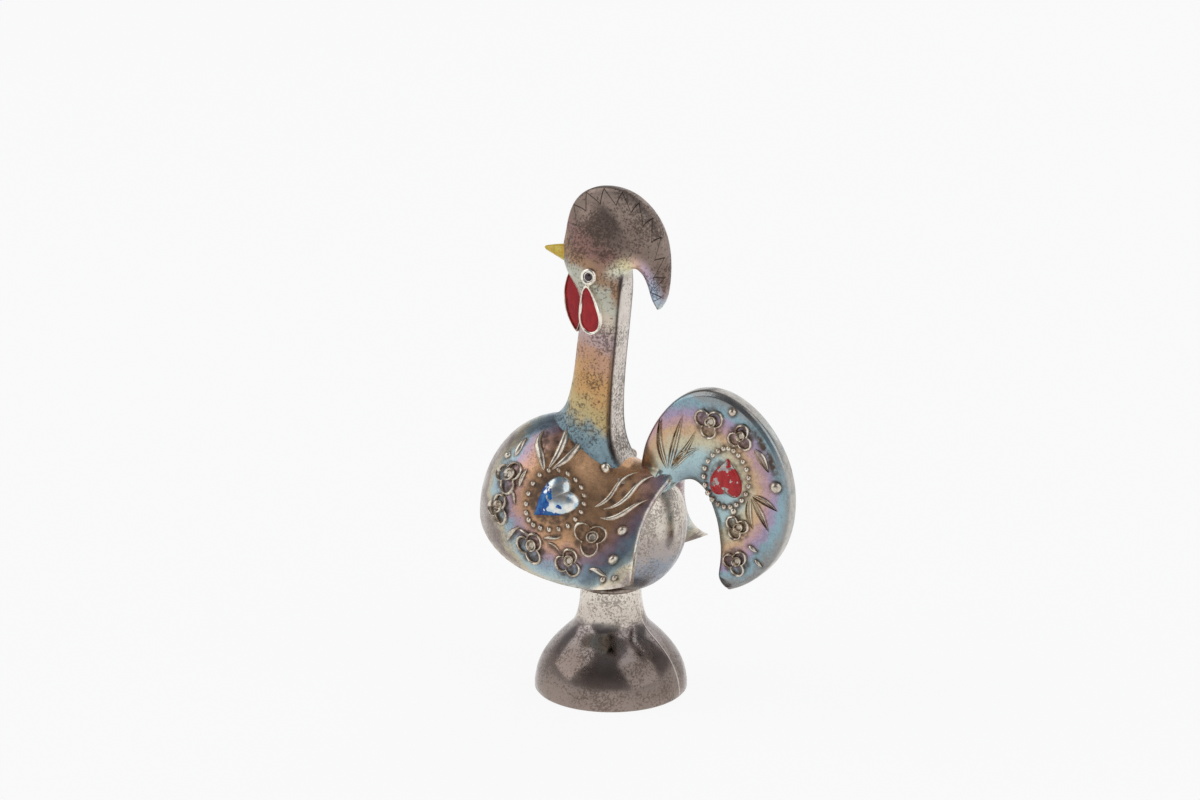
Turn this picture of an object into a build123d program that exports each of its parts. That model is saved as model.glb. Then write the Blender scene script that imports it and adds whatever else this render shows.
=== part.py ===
from build123d import *
from math import cos, radians, sin, sqrt
import os

# The rooster faces -X, its left side is -Y, and Z is up from the face that it rests on.
# Sizes are in millimetres.

# Fits
fit_gap = 0.1

# Foot
foot_radius = 23.5
foot_edge_height = 2.2
foot_shoulder_radius = 19.0
foot_shoulder_height = 13.2
foot_waist_radius = 11.4
foot_waist_height = 21.5
stem_radius = 9.2
stem_top = 32.8
stem_taper = 0.12
foot_wall = 1.4
foot_plate_thickness = 1.6
collar_radius = 10.4
collar_height = 1.8
collar_round_share = 0.45

# Belly, an egg narrower from side to side, whose top leans back
belly_x = 5.2
belly_z = 53.0
belly_radius = 18.8
belly_half_width = 16.5
belly_half_height = 21.0
belly_lean = 13.5
belly_spigot_length = 12.0
belly_cover = 4.4

# Breast and wings
breast_x = -15.0
breast_z = 55.0
breast_reach = 27.0
breast_rise = 30.0
breast_half_width = 26.0
rump_half_width = 17.0
wing_flare = 12.5
wing_flare_power = 4
wing_tip_x = 22.0
back_z = 73.0
saddle_x = 9.0
rim_low_x = 2.0
rim_low_z = 40.0
rim_front_radius = 62.0
rim_rear_radius = 40.0
wing_edge_radius = 18.0
wing_edge_x = 17.2
wing_edge_z = 53.5
wing_wall = 2.2
wing_hollow_depth = 14.0
wing_hollow_taper = 8.0
nose_angles = (84, 66, 45, 22)
arch_angle_step = 15

# Neck
neck_radius = 7.4
neck_lean = 0.13
neck_top_z = 112.0
neck_top_x = -2.6
neck_flare = 5.6
neck_flare_z = 100.0
neck_base_z = 70.0
neck_peg_radius = 4.5
neck_peg_bottom = 70.5
back_panel_x = 3.4
back_panel_lean = 4.9

# Head
throat_z = 122.0
throat_x = -1.8
throat_half_length = 7.7
throat_half_width = 7.7
cheek_z = 133.0
cheek_x = -4.2
cheek_half_length = 11.6
cheek_half_width = 8.3
crown_z = 149.0
crown_x = -2.6
crown_half_length = 9.4
crown_half_width = 3.0

# Comb and tail plates, their outlines drawn in shares of these lengths and heights
comb_front_x = -13.4
comb_hook_z = 122.2
comb_length = 32.2
comb_height = 34.4
comb_thickness = 6.4
comb_edge_round = 1.2
plate_rim_steps = 36
tail_front_x = 10.5
tail_tip_z = 37.2
tail_reach = 49.5
tail_height = 61.6
tail_thickness = 7.4
tail_edge_round = 2.0

# Beak
beak_root_x = -13.0
beak_root_z = 134.6
beak_length = 9.6
beak_radius = 3.3
beak_tip_radius = 0.7
beak_rise = 8.0
beak_round_share = 0.8

# Eyes, ear cups and wattles
eye_x = -3.2
eye_z = 130.6
eye_radius = 2.6
eye_face = 9.7
eye_depth = 4.0
eye_round_share = 0.3
pupil_radius = 1.3
pupil_depth = 0.8
pupil_proud = 0.3
ear_x = -2.4
ear_z = 117.4
ear_radius = 3.6
ear_tip_x = -3.5
ear_tip_z = 126.6
ear_tip_radius = 0.9
ear_face = 9.6
ear_depth = 3.6
ear_rim = 0.9
wattle_x = -12.0
wattle_z = 119.6
wattle_radius = 3.5
wattle_root_x = -13.4
wattle_root_z = 129.0
wattle_root_radius = 2.0
wattle_tip_x = -11.6
wattle_tip_z = 113.4
wattle_tip_radius = 1.7
wattle_inner_y = 0.4
wattle_thickness = 3.0
wattle_rim = 0.8
enamel_depth = 0.7

# Ornament. A place on the wing is a share of its length and of its height from rim to ridge,
# and a place on the tail a share of the tail's reach and height. A spray adds the angles of its leaves.
relief_height = 0.8
relief_middle_gap = 2.8
heart_length = 12.5
heart_width = 9.4
heart_lobe_share = 0.26
heart_tip_share = 0.06
wing_heart_place = (0.522, 0.564)
wing_heart_turn = -52.5
tail_heart_place = (0.596, 0.591)
tail_heart_turn = 176.0
bead_radius = 0.85
bead_count = 20
bead_ring_gap = 0.8
flower_petal_radius = 1.7
flower_petal_count = 4
flower_cup_radius = 1.3
flower_cup_share = 0.6
leaf_length = 10.5
leaf_width = 2.8
leaf_root_gap = 2.4
leaf_root_share = 0.2
leaf_tip_place = 0.92
leaf_tip_share = 0.12
stud_radius = 1.5
wing_flowers = [(0.264, 0.623), (0.217, 0.351), (0.438, 0.194), (0.716, 0.446), (0.619, 0.199)]
wing_studs = [(0.866, 0.503), (0.853, 0.278), (0.709, 0.894)]
wing_sprays = [(0.461, 0.682, (116, 92, 64)), (0.722, 0.63, (52, 32, 10))]
tail_flowers = [(0.483, 0.847), (0.697, 0.789), (0.677, 0.344), (0.689, 0.169)]
tail_studs = [(0.891, 0.575), (0.818, 0.698)]
tail_sprays = [(0.188, 0.623, (92, 69, 46)), (0.749, 0.51, (-48, -70, -92))]


def turned(face):
    """One full turn of a half section about the upright axis."""
    return revolve(face, axis=Axis.Z)


def bell_section(inset):
    """Half section of the bell and stem, drawn in by a wall."""
    floor = (0, 0, 0)
    toe = (foot_radius - inset, 0, 0)
    edge = (foot_radius - inset, 0, foot_edge_height)
    shoulder = (foot_shoulder_radius - inset, 0, foot_shoulder_height)
    waist = (foot_waist_radius - inset, 0, foot_waist_height)
    top = (stem_radius - inset, 0, stem_top)
    curve = Spline(edge, shoulder, waist, top, tangents=[(0, 0, 1), (-stem_taper, 0, 1)])
    roof = (0, 0, stem_top)
    lines = [Line(floor, toe), Line(toe, edge), curve, Line(top, roof), Line(roof, floor)]
    return Face(Wire(lines))


def foot():
    """Bell foot, its closing plate and the collar ring on the stem."""
    bell = turned(bell_section(0)) - turned(bell_section(foot_wall))
    plate_radius = foot_radius - foot_wall - fit_gap
    disc = Pos(0, 0, foot_plate_thickness / 2) * Cylinder(plate_radius, foot_plate_thickness)
    ring_middle = stem_top + collar_height / 2
    ring = Pos(0, 0, ring_middle) * Cylinder(collar_radius, collar_height)
    ring = fillet(ring.edges(), collar_height * collar_round_share)
    ring -= Pos(0, 0, ring_middle) * Cylinder(stem_radius - foot_wall, collar_height)
    return bell, disc, ring


def egg():
    """The belly, cut flat on the collar and under the back, with its spigot in the stem."""
    arc = EllipticalCenterArc((0, 0, 0), belly_radius, belly_half_height, -90, arc_size=180)
    half = Plane.XZ * make_face([arc, Line(arc @ 1, arc @ 0)])
    upright = scale(turned(half), by=(1, belly_half_width / belly_radius, 1))
    body = Pos(belly_x, 0, belly_z) * Rot(0, belly_lean, 0) * upright
    seat = stem_top + collar_height
    body = split(body, bisect_by=Plane.XY.offset(seat), keep=Keep.TOP)
    body = split(body, bisect_by=Plane.XY.offset(back_z - belly_cover), keep=Keep.BOTTOM)
    spigot_height = belly_spigot_length + collar_height + belly_half_height / 2
    spigot_middle = stem_top - belly_spigot_length + spigot_height / 2
    spigot = Pos(0, 0, spigot_middle) * Cylinder(stem_radius - foot_wall - fit_gap, spigot_height)
    return body + spigot


def along_body(x):
    """Share of the way from the middle of the breast back to the wing tips."""
    return max(0.0, (x - breast_x) / (wing_tip_x - breast_x))


def breast_share(x, grow):
    """How much of its full girth the breast has at a place ahead of its middle."""
    ahead = min(0.0, (x - breast_x) / (breast_reach + grow))
    return sqrt(max(0.0, 1 - ahead**2))


def side_reach(x, grow):
    """Half width of the body at its rim, without the flare of the wings."""
    waist = breast_half_width + (rump_half_width - breast_half_width) * along_body(x) ** 2
    return (waist + grow) * breast_share(x, grow)


def ridge_height(x, grow):
    """Height of the breast, then of the back as it falls to the saddle."""
    if x <= breast_x:
        return breast_z + (breast_rise + grow) * breast_share(x, grow)
    fall = min(1.0, (x - breast_x) / (saddle_x - breast_x))
    eased = fall * fall * (3 - 2 * fall)
    return breast_z + breast_rise + (back_z - breast_z - breast_rise) * eased + grow


def rim_height(x):
    """Height of the lower rim, which rises to the nose of the breast and to the wing tips."""
    radius = rim_front_radius if x < rim_low_x else rim_rear_radius
    return rim_low_z + (x - rim_low_x) ** 2 / (2 * radius)


def arch_point(x, angle, grow, drop=0.0):
    """Half width and height of the body's section at an angle up from the rim."""
    rise = sin(radians(angle))
    low = rim_height(x) - drop
    flare = wing_flare * along_body(x) ** 2 * (1 - rise) ** wing_flare_power
    width = side_reach(x, grow) * cos(radians(angle)) + flare
    return width, low + (ridge_height(x, grow) - low) * rise


def arch_face(x, grow, drop=0.0):
    """Upright section of the body: an arch over the flat line between its two rims."""
    side = [arch_point(x, angle, grow, drop) for angle in range(0, 90, arch_angle_step)]
    left = [(x, -width, height) for width, height in side]
    right = [(x, width, height) for width, height in reversed(side)]
    top = (x, 0, ridge_height(x, grow))
    arch = Spline(*left, top, *right)
    return Face(Wire([arch, Line(arch @ 1, arch @ 0)]))


def body_block(grow):
    """Breast and wings as one block, grown outward by an even height."""
    nose = [breast_x - (breast_reach + grow) * sin(radians(angle)) for angle in nose_angles]
    steps = 4
    rear = [breast_x + (wing_tip_x - breast_x) * step / steps for step in range(steps + 1)]
    return loft([arch_face(x, grow) for x in nose + rear])


def wing_hollow():
    """Space between wings and belly, open at the rear and below, that leaves the wings thin."""
    depth = wing_hollow_depth
    places = [wing_tip_x + fit_gap - depth * step / 2 for step in (0, 1, 2)]
    insets = [wing_wall + wing_hollow_taper * step / 2 for step in (0, 1, 2)]
    return loft([arch_face(x, -inset, foot_wall) for x, inset in zip(places, insets)])


def wing_edge_cut():
    """Round scoop that draws in the rear edge of both wings at mid height."""
    scoop = Cylinder(wing_edge_radius, 4 * breast_half_width, rotation=(90, 0, 0))
    return Pos(wing_edge_x + wing_edge_radius, 0, wing_edge_z) * scoop


def plate(outline, thickness, edge_round):
    """Plate on the middle plane whose rim is full there and rounds in to the flat of either face."""
    rim = Spline(*outline, periodic=True)
    count = plate_rim_steps
    places = [rim @ (step / count) for step in range(count)]
    headings = [rim % (step / count) for step in range(count)]
    faces = []
    for share in (-1, 0, 1):
        inset = edge_round * abs(share)
        drawn = [
            (place.X + heading.Y * inset, -share * thickness / 2, place.Y - heading.X * inset)
            for place, heading in zip(places, headings)
        ]
        faces.append(Face(Wire([Spline(*drawn, periodic=True)])))
    return loft(faces)


def tail_place(across, up):
    """Side-view place at shares of the tail's reach and height."""
    return tail_front_x + tail_reach * across, tail_tip_z + tail_height * up


def tail_plate():
    """Sickle tail: front edge from the saddle over the top, down to the tip and up the inner edge."""
    front = [(-0, 0.5), (0.042, 0.695), (0.168, 0.873), (0.333, 0.981), (0.515, 1)]
    outer = [(0.697, 0.942), (0.859, 0.817), (0.966, 0.654), (1, 0.476), (0.96, 0.289), (0.848, 0.143)]
    tip = [(0.697, 0.045), (0.586, 0), (0.539, 0.07)]
    arch = [(0.547, 0.208), (0.523, 0.346), (0.459, 0.481)]
    saddle = [(0.366, 0.542), (0.265, 0.519), (0.141, 0.411)]
    outline = [tail_place(across, up) for across, up in front + outer + tip + arch + saddle]
    return plate(outline, tail_thickness, tail_edge_round)


def comb_place(across, up):
    """Side-view place at shares of the comb's length and height."""
    return comb_front_x + comb_length * across, comb_hook_z + comb_height * up


def comb_plate():
    """Comb: up the brow, over the top, down to the hook and back under the notch into the head."""
    brow = [(0, 0.648), (0.05, 0.823), (0.193, 0.953), (0.401, 1), (0.618, 0.953)]
    back = [(0.82, 0.82), (0.957, 0.622), (1, 0.372), (0.975, 0.128)]
    hook = [(0.932, 0), (0.87, 0.006), (0.832, 0.128), (0.776, 0.256), (0.665, 0.291)]
    root = [(0.478, 0.285), (0.23, 0.387)]
    outline = [comb_place(across, up) for across, up in brow + back + hook + root]
    return plate(outline, comb_thickness, comb_edge_round)


def back_panel():
    """Everything behind the flat back of neck and head."""
    height = crown_z - neck_base_z
    block = Pos(height / 2, 0, 0) * Box(height, height, 2 * height)
    return Pos(back_panel_x, 0, neck_top_z) * Rot(0, back_panel_lean, 0) * block


def neck_axis(z):
    """Place of the neck's middle, which leans back going up."""
    return neck_top_x + neck_lean * (z - neck_top_z)


def neck_girth(z):
    """Radius of the neck, which flares toward its foot."""
    share = max(0.0, (neck_flare_z - z) / (neck_flare_z - neck_base_z))
    return neck_radius + neck_flare * share**2


def oval(x, z, half_length, half_width):
    """Level oval section of neck or head."""
    return Pos(x, 0, z) * Ellipse(half_length, half_width)


def neck_loft():
    """Round neck from inside the back up to the head."""
    steps = 5
    heights = [neck_base_z + (neck_top_z - neck_base_z) * step / steps for step in range(steps + 1)]
    return loft([oval(neck_axis(z), z, neck_girth(z), neck_girth(z)) for z in heights])


def head_loft():
    """Head from the top of the neck over throat and cheeks to the narrow crown."""
    base = oval(neck_top_x, neck_top_z, neck_radius, neck_radius)
    throat = oval(throat_x, throat_z, throat_half_length, throat_half_width)
    cheek = oval(cheek_x, cheek_z, cheek_half_length, cheek_half_width)
    crown = oval(crown_x, crown_z, crown_half_length, crown_half_width)
    return loft([base, throat, cheek, crown])


def neck_peg(gap):
    """Peg of the neck, or its hole, between the wing halves."""
    height = breast_z + breast_rise - neck_peg_bottom
    peg = Cylinder(neck_peg_radius + gap, height)
    return Pos(neck_axis(neck_base_z), 0, neck_peg_bottom + height / 2) * peg


def side_prism(sketch, near, far):
    """A side-view sketch carried outward on the left, between two distances from the middle plane."""
    return Pos(0, -near, 0) * extrude(Plane.XZ * sketch, amount=far - near)


def beak_form():
    """Pointed beak with a blunt tip, its root inside the head."""
    cone = Cone(beak_radius, beak_tip_radius, beak_length)
    tip = cone.edges().sort_by(Axis.Z)[-1]
    cone = fillet(tip, beak_tip_radius * beak_round_share)
    lying = Rot(0, -90 + beak_rise, 0) * Pos(0, 0, beak_length / 2) * cone
    return Pos(beak_root_x, 0, beak_root_z) * lying


def eye_boss():
    """Round eye with a softened rim, and the pupil let into its face."""
    middle = Pos(eye_x, eye_z)
    boss = side_prism(middle * Circle(eye_radius), eye_face - eye_depth, eye_face)
    outer = boss.edges().sort_by(Axis.Y)[0]
    boss = fillet(outer, eye_radius * eye_round_share)
    pupil = side_prism(middle * Circle(pupil_radius), eye_face - pupil_depth, eye_face + pupil_proud)
    return boss - pupil, pupil


def drop(inset):
    """Drop outline of an ear cup, drawn in by its rim."""
    bowl = Pos(ear_x, ear_z) * Circle(ear_radius - inset)
    tip = Pos(ear_tip_x, ear_tip_z) * Circle(ear_tip_radius - inset / 2)
    return make_hull(bowl.edges() + tip.edges())


def ear_cup():
    """Ear-lobe cup with a raised rim, and the enamel inside it."""
    block = side_prism(drop(0), ear_face - ear_depth, ear_face)
    hollow = side_prism(drop(ear_rim), ear_face - 2 * enamel_depth, ear_face)
    enamel = side_prism(drop(ear_rim), ear_face - 2 * enamel_depth, ear_face - enamel_depth)
    return block - hollow, enamel


def leaf_lobe(inset):
    """Wattle outline from its root under the beak to its tip, drawn in by its rim."""
    root = Pos(wattle_root_x, wattle_root_z) * Circle(wattle_root_radius - inset)
    lobe = Pos(wattle_x, wattle_z) * Circle(wattle_radius - inset)
    tip = Pos(wattle_tip_x, wattle_tip_z) * Circle(wattle_tip_radius - inset)
    return make_hull(root.edges() + lobe.edges() + tip.edges())


def wattle():
    """Left wattle with its enamel let into the outer face."""
    face = wattle_inner_y + wattle_thickness
    block = side_prism(leaf_lobe(0), wattle_inner_y, face)
    enamel = side_prism(leaf_lobe(wattle_rim), face - enamel_depth, face)
    return block - enamel, enamel


def heart(x, z, turn):
    """Heart with two round lobes and a blunt tip, turned on the side view."""
    lobe_radius = heart_width * heart_lobe_share
    lobe_height = heart_length / 2 - lobe_radius
    tip_radius = heart_width * heart_tip_share
    tip = Pos(0, tip_radius - heart_length / 2) * Circle(tip_radius)
    halves = []
    for side in (-1, 1):
        lobe = Pos(side * (heart_width / 2 - lobe_radius), lobe_height) * Circle(lobe_radius)
        halves.append(make_hull(lobe.edges() + tip.edges()))
    return Pos(x, z) * Rot(0, 0, turn) * (halves[0] + halves[1])


def bead_places(x, z, turn):
    """Middles of the beads, evenly spaced round a heart."""
    ring = offset(heart(x, z, turn), bead_ring_gap + bead_radius).wires()[0]
    return [ring @ (step / bead_count) for step in range(bead_count)]


def flower(x, z):
    """Round petals about a cup."""
    reach = flower_petal_radius + flower_cup_radius * flower_cup_share
    petals = PolarLocations(reach, flower_petal_count) * Circle(flower_petal_radius)
    return Pos(x, z) * (Sketch() + petals + Circle(flower_cup_radius))


def leaf(x, z, angle):
    """Leaf that widens and narrows again, starting a little way from the root of its spray."""
    near = Pos(leaf_root_gap) * Circle(leaf_width * leaf_root_share)
    middle = Pos(leaf_root_gap + leaf_length / 2) * Circle(leaf_width / 2)
    far = Pos(leaf_root_gap + leaf_length * leaf_tip_place) * Circle(leaf_width * leaf_tip_share)
    return Pos(x, z) * Rot(0, 0, angle) * make_hull(near.edges() + middle.edges() + far.edges())


def leaves(sprays, places):
    """All leaves of the sprays, each fanning out from its root."""
    roots = places([(along, up) for along, up, angles in sprays])
    fans = [angles for along, up, angles in sprays]
    return Sketch() + [leaf(x, z, angle) for (x, z), angles in zip(roots, fans) for angle in angles]


def wing_half_width(x, z):
    """Distance of the wing's outer face from the middle plane."""
    low = rim_height(x)
    rise = (z - low) / (ridge_height(x, 0) - low)
    flare = wing_flare * along_body(x) ** 2 * (1 - rise) ** wing_flare_power
    return side_reach(x, 0) * sqrt(1 - rise**2) + flare


def on_wing(sketch):
    """Relief of even height on the left wing."""
    return wing_layer & side_prism(sketch, relief_middle_gap, 2 * breast_half_width)


def on_tail(sketch):
    """Relief of even height on the left face of the tail."""
    face = tail_thickness / 2
    return side_prism(sketch, face - tail_edge_round, face + relief_height) - tail


def wing_seat(x, z):
    """Point on the left wing's outer face and the way out from it there."""
    step = bead_radius
    along = (wing_half_width(x + step, z) - wing_half_width(x - step, z)) / (2 * step)
    upward = (wing_half_width(x, z + step) - wing_half_width(x, z - step)) / (2 * step)
    return (x, -wing_half_width(x, z), z), (-along, -1, -upward)


def tail_seat(x, z):
    """Point on the left face of the tail and the way out from it."""
    return (x, -tail_thickness / 2, z), (0, -1, 0)


def bead_group(seats, side):
    """Half-round beads, each with its flat on its seat, on the left for a side of 1 or the right for -1."""
    beads = []
    for (x, y, z), (out_x, out_y, out_z) in seats:
        seat = Plane(origin=(x, side * y, z), z_dir=(out_x, side * out_y, out_z))
        beads.append(seat * Sphere(bead_radius, arc_size1=0))
    return Compound(children=beads)


def save(name, shape):
    """Write one node of the rooster."""
    solids = shape.solids()
    piece = solids[0] if len(solids) == 1 else Compound(children=list(solids))
    piece.label = name
    export_step(piece, f"parts/{name}.step")


def save_beads(name, seats):
    """Write the ring of beads of the left side and of the right."""
    save(f"left_{name}", bead_group(seats, 1))
    save(f"right_{name}", bead_group(seats, -1))


def wing_places(shares):
    """Side-view places on the wing from shares of its length and of its height there."""
    nose = breast_x - breast_reach
    places = []
    for along, up in shares:
        x = nose + (wing_tip_x - nose) * along
        low = rim_height(x)
        places.append((x, low + (ridge_height(x, 0) - low) * up))
    return places


def tail_places(shares):
    """Side-view places on the tail from shares of its reach and height."""
    return [tail_place(across, up) for across, up in shares]


def studs(places):
    """Plain round bosses."""
    return Sketch() + [Pos(x, z) * Circle(stud_radius) for x, z in places]


def flowers(places):
    """All flowers of one side."""
    return Sketch() + [flower(x, z) for x, z in places]


def other_side(shape):
    """The same piece on the bird's right side."""
    return mirror(shape, about=Plane.XZ)


def save_pair(name, shape):
    """Write a piece of the left side and its twin on the right."""
    save(f"left_{name}", shape)
    save(f"right_{name}", other_side(shape))


os.makedirs("parts", exist_ok=True)

foot_bell, foot_plate, stem_collar = foot()
belly = egg()
tail = tail_plate()
belly -= tail
block = body_block(0)
wings = block - wing_hollow() - wing_edge_cut() - belly - tail - neck_peg(fit_gap)
left_wing = split(wings, bisect_by=Plane.XZ, keep=Keep.TOP)

behind = back_panel()
neck = neck_loft() - behind - block - tail + neck_peg(0)
comb = comb_plate()
beak = beak_form()
boss, pupil = eye_boss()
cup, ear_enamel = ear_cup()
lobe, wattle_enamel = wattle()
head = head_loft() - behind
lobe = lobe - head - neck - beak
wattle_enamel = wattle_enamel - head - neck - beak
for piece in (boss, pupil, cup, ear_enamel):
    head = head - piece - other_side(piece)
    neck = neck - piece - other_side(piece)
head = head - comb - beak

wing_layer = body_block(relief_height) - block - wing_edge_cut() - neck - tail - belly
wing_heart_at = wing_places([wing_heart_place])[0]
tail_heart_at = tail_place(*tail_heart_place)
wing_heart = heart(*wing_heart_at, wing_heart_turn)
tail_heart = heart(*tail_heart_at, tail_heart_turn)
wing_ring = bead_places(*wing_heart_at, wing_heart_turn)
tail_ring = bead_places(*tail_heart_at, tail_heart_turn)
wing_beads = [wing_seat(place.X, place.Y) for place in wing_ring]
tail_beads = [tail_seat(place.X, place.Y) for place in tail_ring]

save("foot_bell", foot_bell)
save("foot_plate", foot_plate)
save("stem_collar", stem_collar)
save("belly", belly)
save_pair("wing_shell", left_wing)
save("tail", tail)
save("neck", neck)
save("head", head)
save("comb", comb)
save("beak", beak)
save_pair("eye", boss)
save_pair("pupil", pupil)
save_pair("ear_cup", cup)
save_pair("ear_enamel", ear_enamel)
save_pair("wattle", lobe)
save_pair("wattle_enamel", wattle_enamel)
save_pair("wing_heart", on_wing(wing_heart))
save_beads("wing_beads", wing_beads)
save_pair("wing_flowers", on_wing(flowers(wing_places(wing_flowers))))
save_pair("wing_leaves", on_wing(leaves(wing_sprays, wing_places)))
save_pair("wing_studs", on_wing(studs(wing_places(wing_studs))))
save_pair("tail_heart", on_tail(tail_heart))
save_beads("tail_beads", tail_beads)
save_pair("tail_flowers", on_tail(flowers(tail_places(tail_flowers))))
save_pair("tail_leaves", on_tail(leaves(tail_sprays, tail_places)))
save_pair("tail_studs", on_tail(studs(tail_places(tail_studs))))
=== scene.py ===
"""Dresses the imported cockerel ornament: smooth toned silver, raised ornament and worn enamel."""

import logging
import math
from collections.abc import Callable, Sequence
from dataclasses import dataclass, field
from enum import Enum

import bmesh
import bpy
import numpy as np
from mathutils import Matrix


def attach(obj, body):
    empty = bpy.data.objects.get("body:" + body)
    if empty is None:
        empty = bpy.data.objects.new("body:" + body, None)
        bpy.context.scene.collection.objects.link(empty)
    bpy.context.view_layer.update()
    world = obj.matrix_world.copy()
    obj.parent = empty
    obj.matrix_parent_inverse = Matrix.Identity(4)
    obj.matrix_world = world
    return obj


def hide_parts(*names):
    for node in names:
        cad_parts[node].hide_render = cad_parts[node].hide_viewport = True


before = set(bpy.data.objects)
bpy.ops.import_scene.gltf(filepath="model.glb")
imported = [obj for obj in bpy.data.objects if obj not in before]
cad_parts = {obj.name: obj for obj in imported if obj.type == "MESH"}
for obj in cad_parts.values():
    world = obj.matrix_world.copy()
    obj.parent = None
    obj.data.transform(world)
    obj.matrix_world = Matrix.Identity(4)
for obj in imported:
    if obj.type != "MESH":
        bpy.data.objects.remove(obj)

LOG = logging.getLogger("cockerel")
BODY = "root"
MM = 0.001
NO_HOLLOW = np.zeros((1, 1))
Triple = tuple[float, float, float]
Colour = Triple
Socket = bpy.types.NodeSocket
Material = bpy.types.Material
Place = tuple[float, float]
Patch = tuple[np.ndarray, np.ndarray, np.ndarray]


class Side(Enum):
    """The bird's two sides, with the sign of Y on each."""

    LEFT = -1
    RIGHT = 1

    @property
    def word(self) -> str:
        """The side's name in small letters, as the nodes use it."""
        return self.name.lower()

    def turn(self, points: np.ndarray) -> np.ndarray:
        """Points worked out on the left side, carried to this side by the sign of Y."""
        return points * np.array([1.0, -self.value, 1.0])


class LeafStyle(Enum):
    """How a raised leaf is worked: a solid blade, or an outline with a middle vein."""

    BLADE = "blade"
    VEINED = "veined"


class Drive(Enum):
    """What the bands of toning follow: the height, or the distance from a centre in side view."""

    HEIGHT = "height"
    RINGS = "rings"


def smooth_curve(points: Sequence[Sequence[float]], count: int) -> np.ndarray:
    """Samples the natural cubic spline that passes through points, its parameter the chord length.

    Args:
        points: The points to pass through, with any number of columns.
        count: How many samples to take, even in the parameter.

    Returns:
        An array of count rows with the columns of points.
    """
    knots = np.asarray(points, float)
    place = np.concatenate([[0.0], np.cumsum(np.linalg.norm(np.diff(knots, axis=0), axis=1))])
    gap = np.diff(place)
    inner = np.arange(1, len(place) - 1)
    system = np.eye(len(place))
    system[inner, inner - 1] = gap[:-1]
    system[inner, inner] = 2 * (gap[:-1] + gap[1:])
    system[inner, inner + 1] = gap[1:]
    right = np.zeros_like(knots)
    right[1:-1] = 6 * np.diff(np.diff(knots, axis=0) / gap[:, None], axis=0)
    bend = np.linalg.solve(system, right)
    at = np.linspace(0.0, place[-1], count)
    k = np.clip(np.searchsorted(place, at, side="right") - 1, 0, len(gap) - 1)
    width = gap[k][:, None]
    a = ((place[k + 1] - at) / gap[k])[:, None]
    b = 1 - a
    curve = (a**3 - a) * bend[k] + (b**3 - b) * bend[k + 1]
    return a * knots[k] + b * knots[k + 1] + curve * width**2 / 6


def ease(value: np.ndarray) -> np.ndarray:
    """The smooth step 3t^2 - 2t^3 of a value held between 0 and 1."""
    t = np.clip(value, 0.0, 1.0)
    return t * t * (3 - 2 * t)


def soft_max(a: np.ndarray, b: np.ndarray, blend: float) -> np.ndarray:
    """The larger of a and b with the corner rounded: half of their sum plus a rooted difference."""
    return 0.5 * (a + b + np.sqrt((a - b) ** 2 + blend**2))


def edge_spaced(count: int) -> np.ndarray:
    """Values from 0 to 1 that crowd towards both ends, as half a cosine wave does."""
    return 0.5 - 0.5 * np.cos(np.linspace(0.0, np.pi, count))


def round_angles(count: int) -> np.ndarray:
    """Angles of one full turn without the repeated last one."""
    return np.linspace(0.0, 2 * np.pi, count, endpoint=False)


def spun(outline: np.ndarray, turns: int) -> np.ndarray:
    """Turns an outline of radius and height about the upright axis, in that many steps."""
    angle = round_angles(turns)
    radius, height = outline[:, :1], outline[:, 1:]
    return np.stack([radius * np.cos(angle), radius * np.sin(angle), height + 0 * angle], -1)


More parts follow.
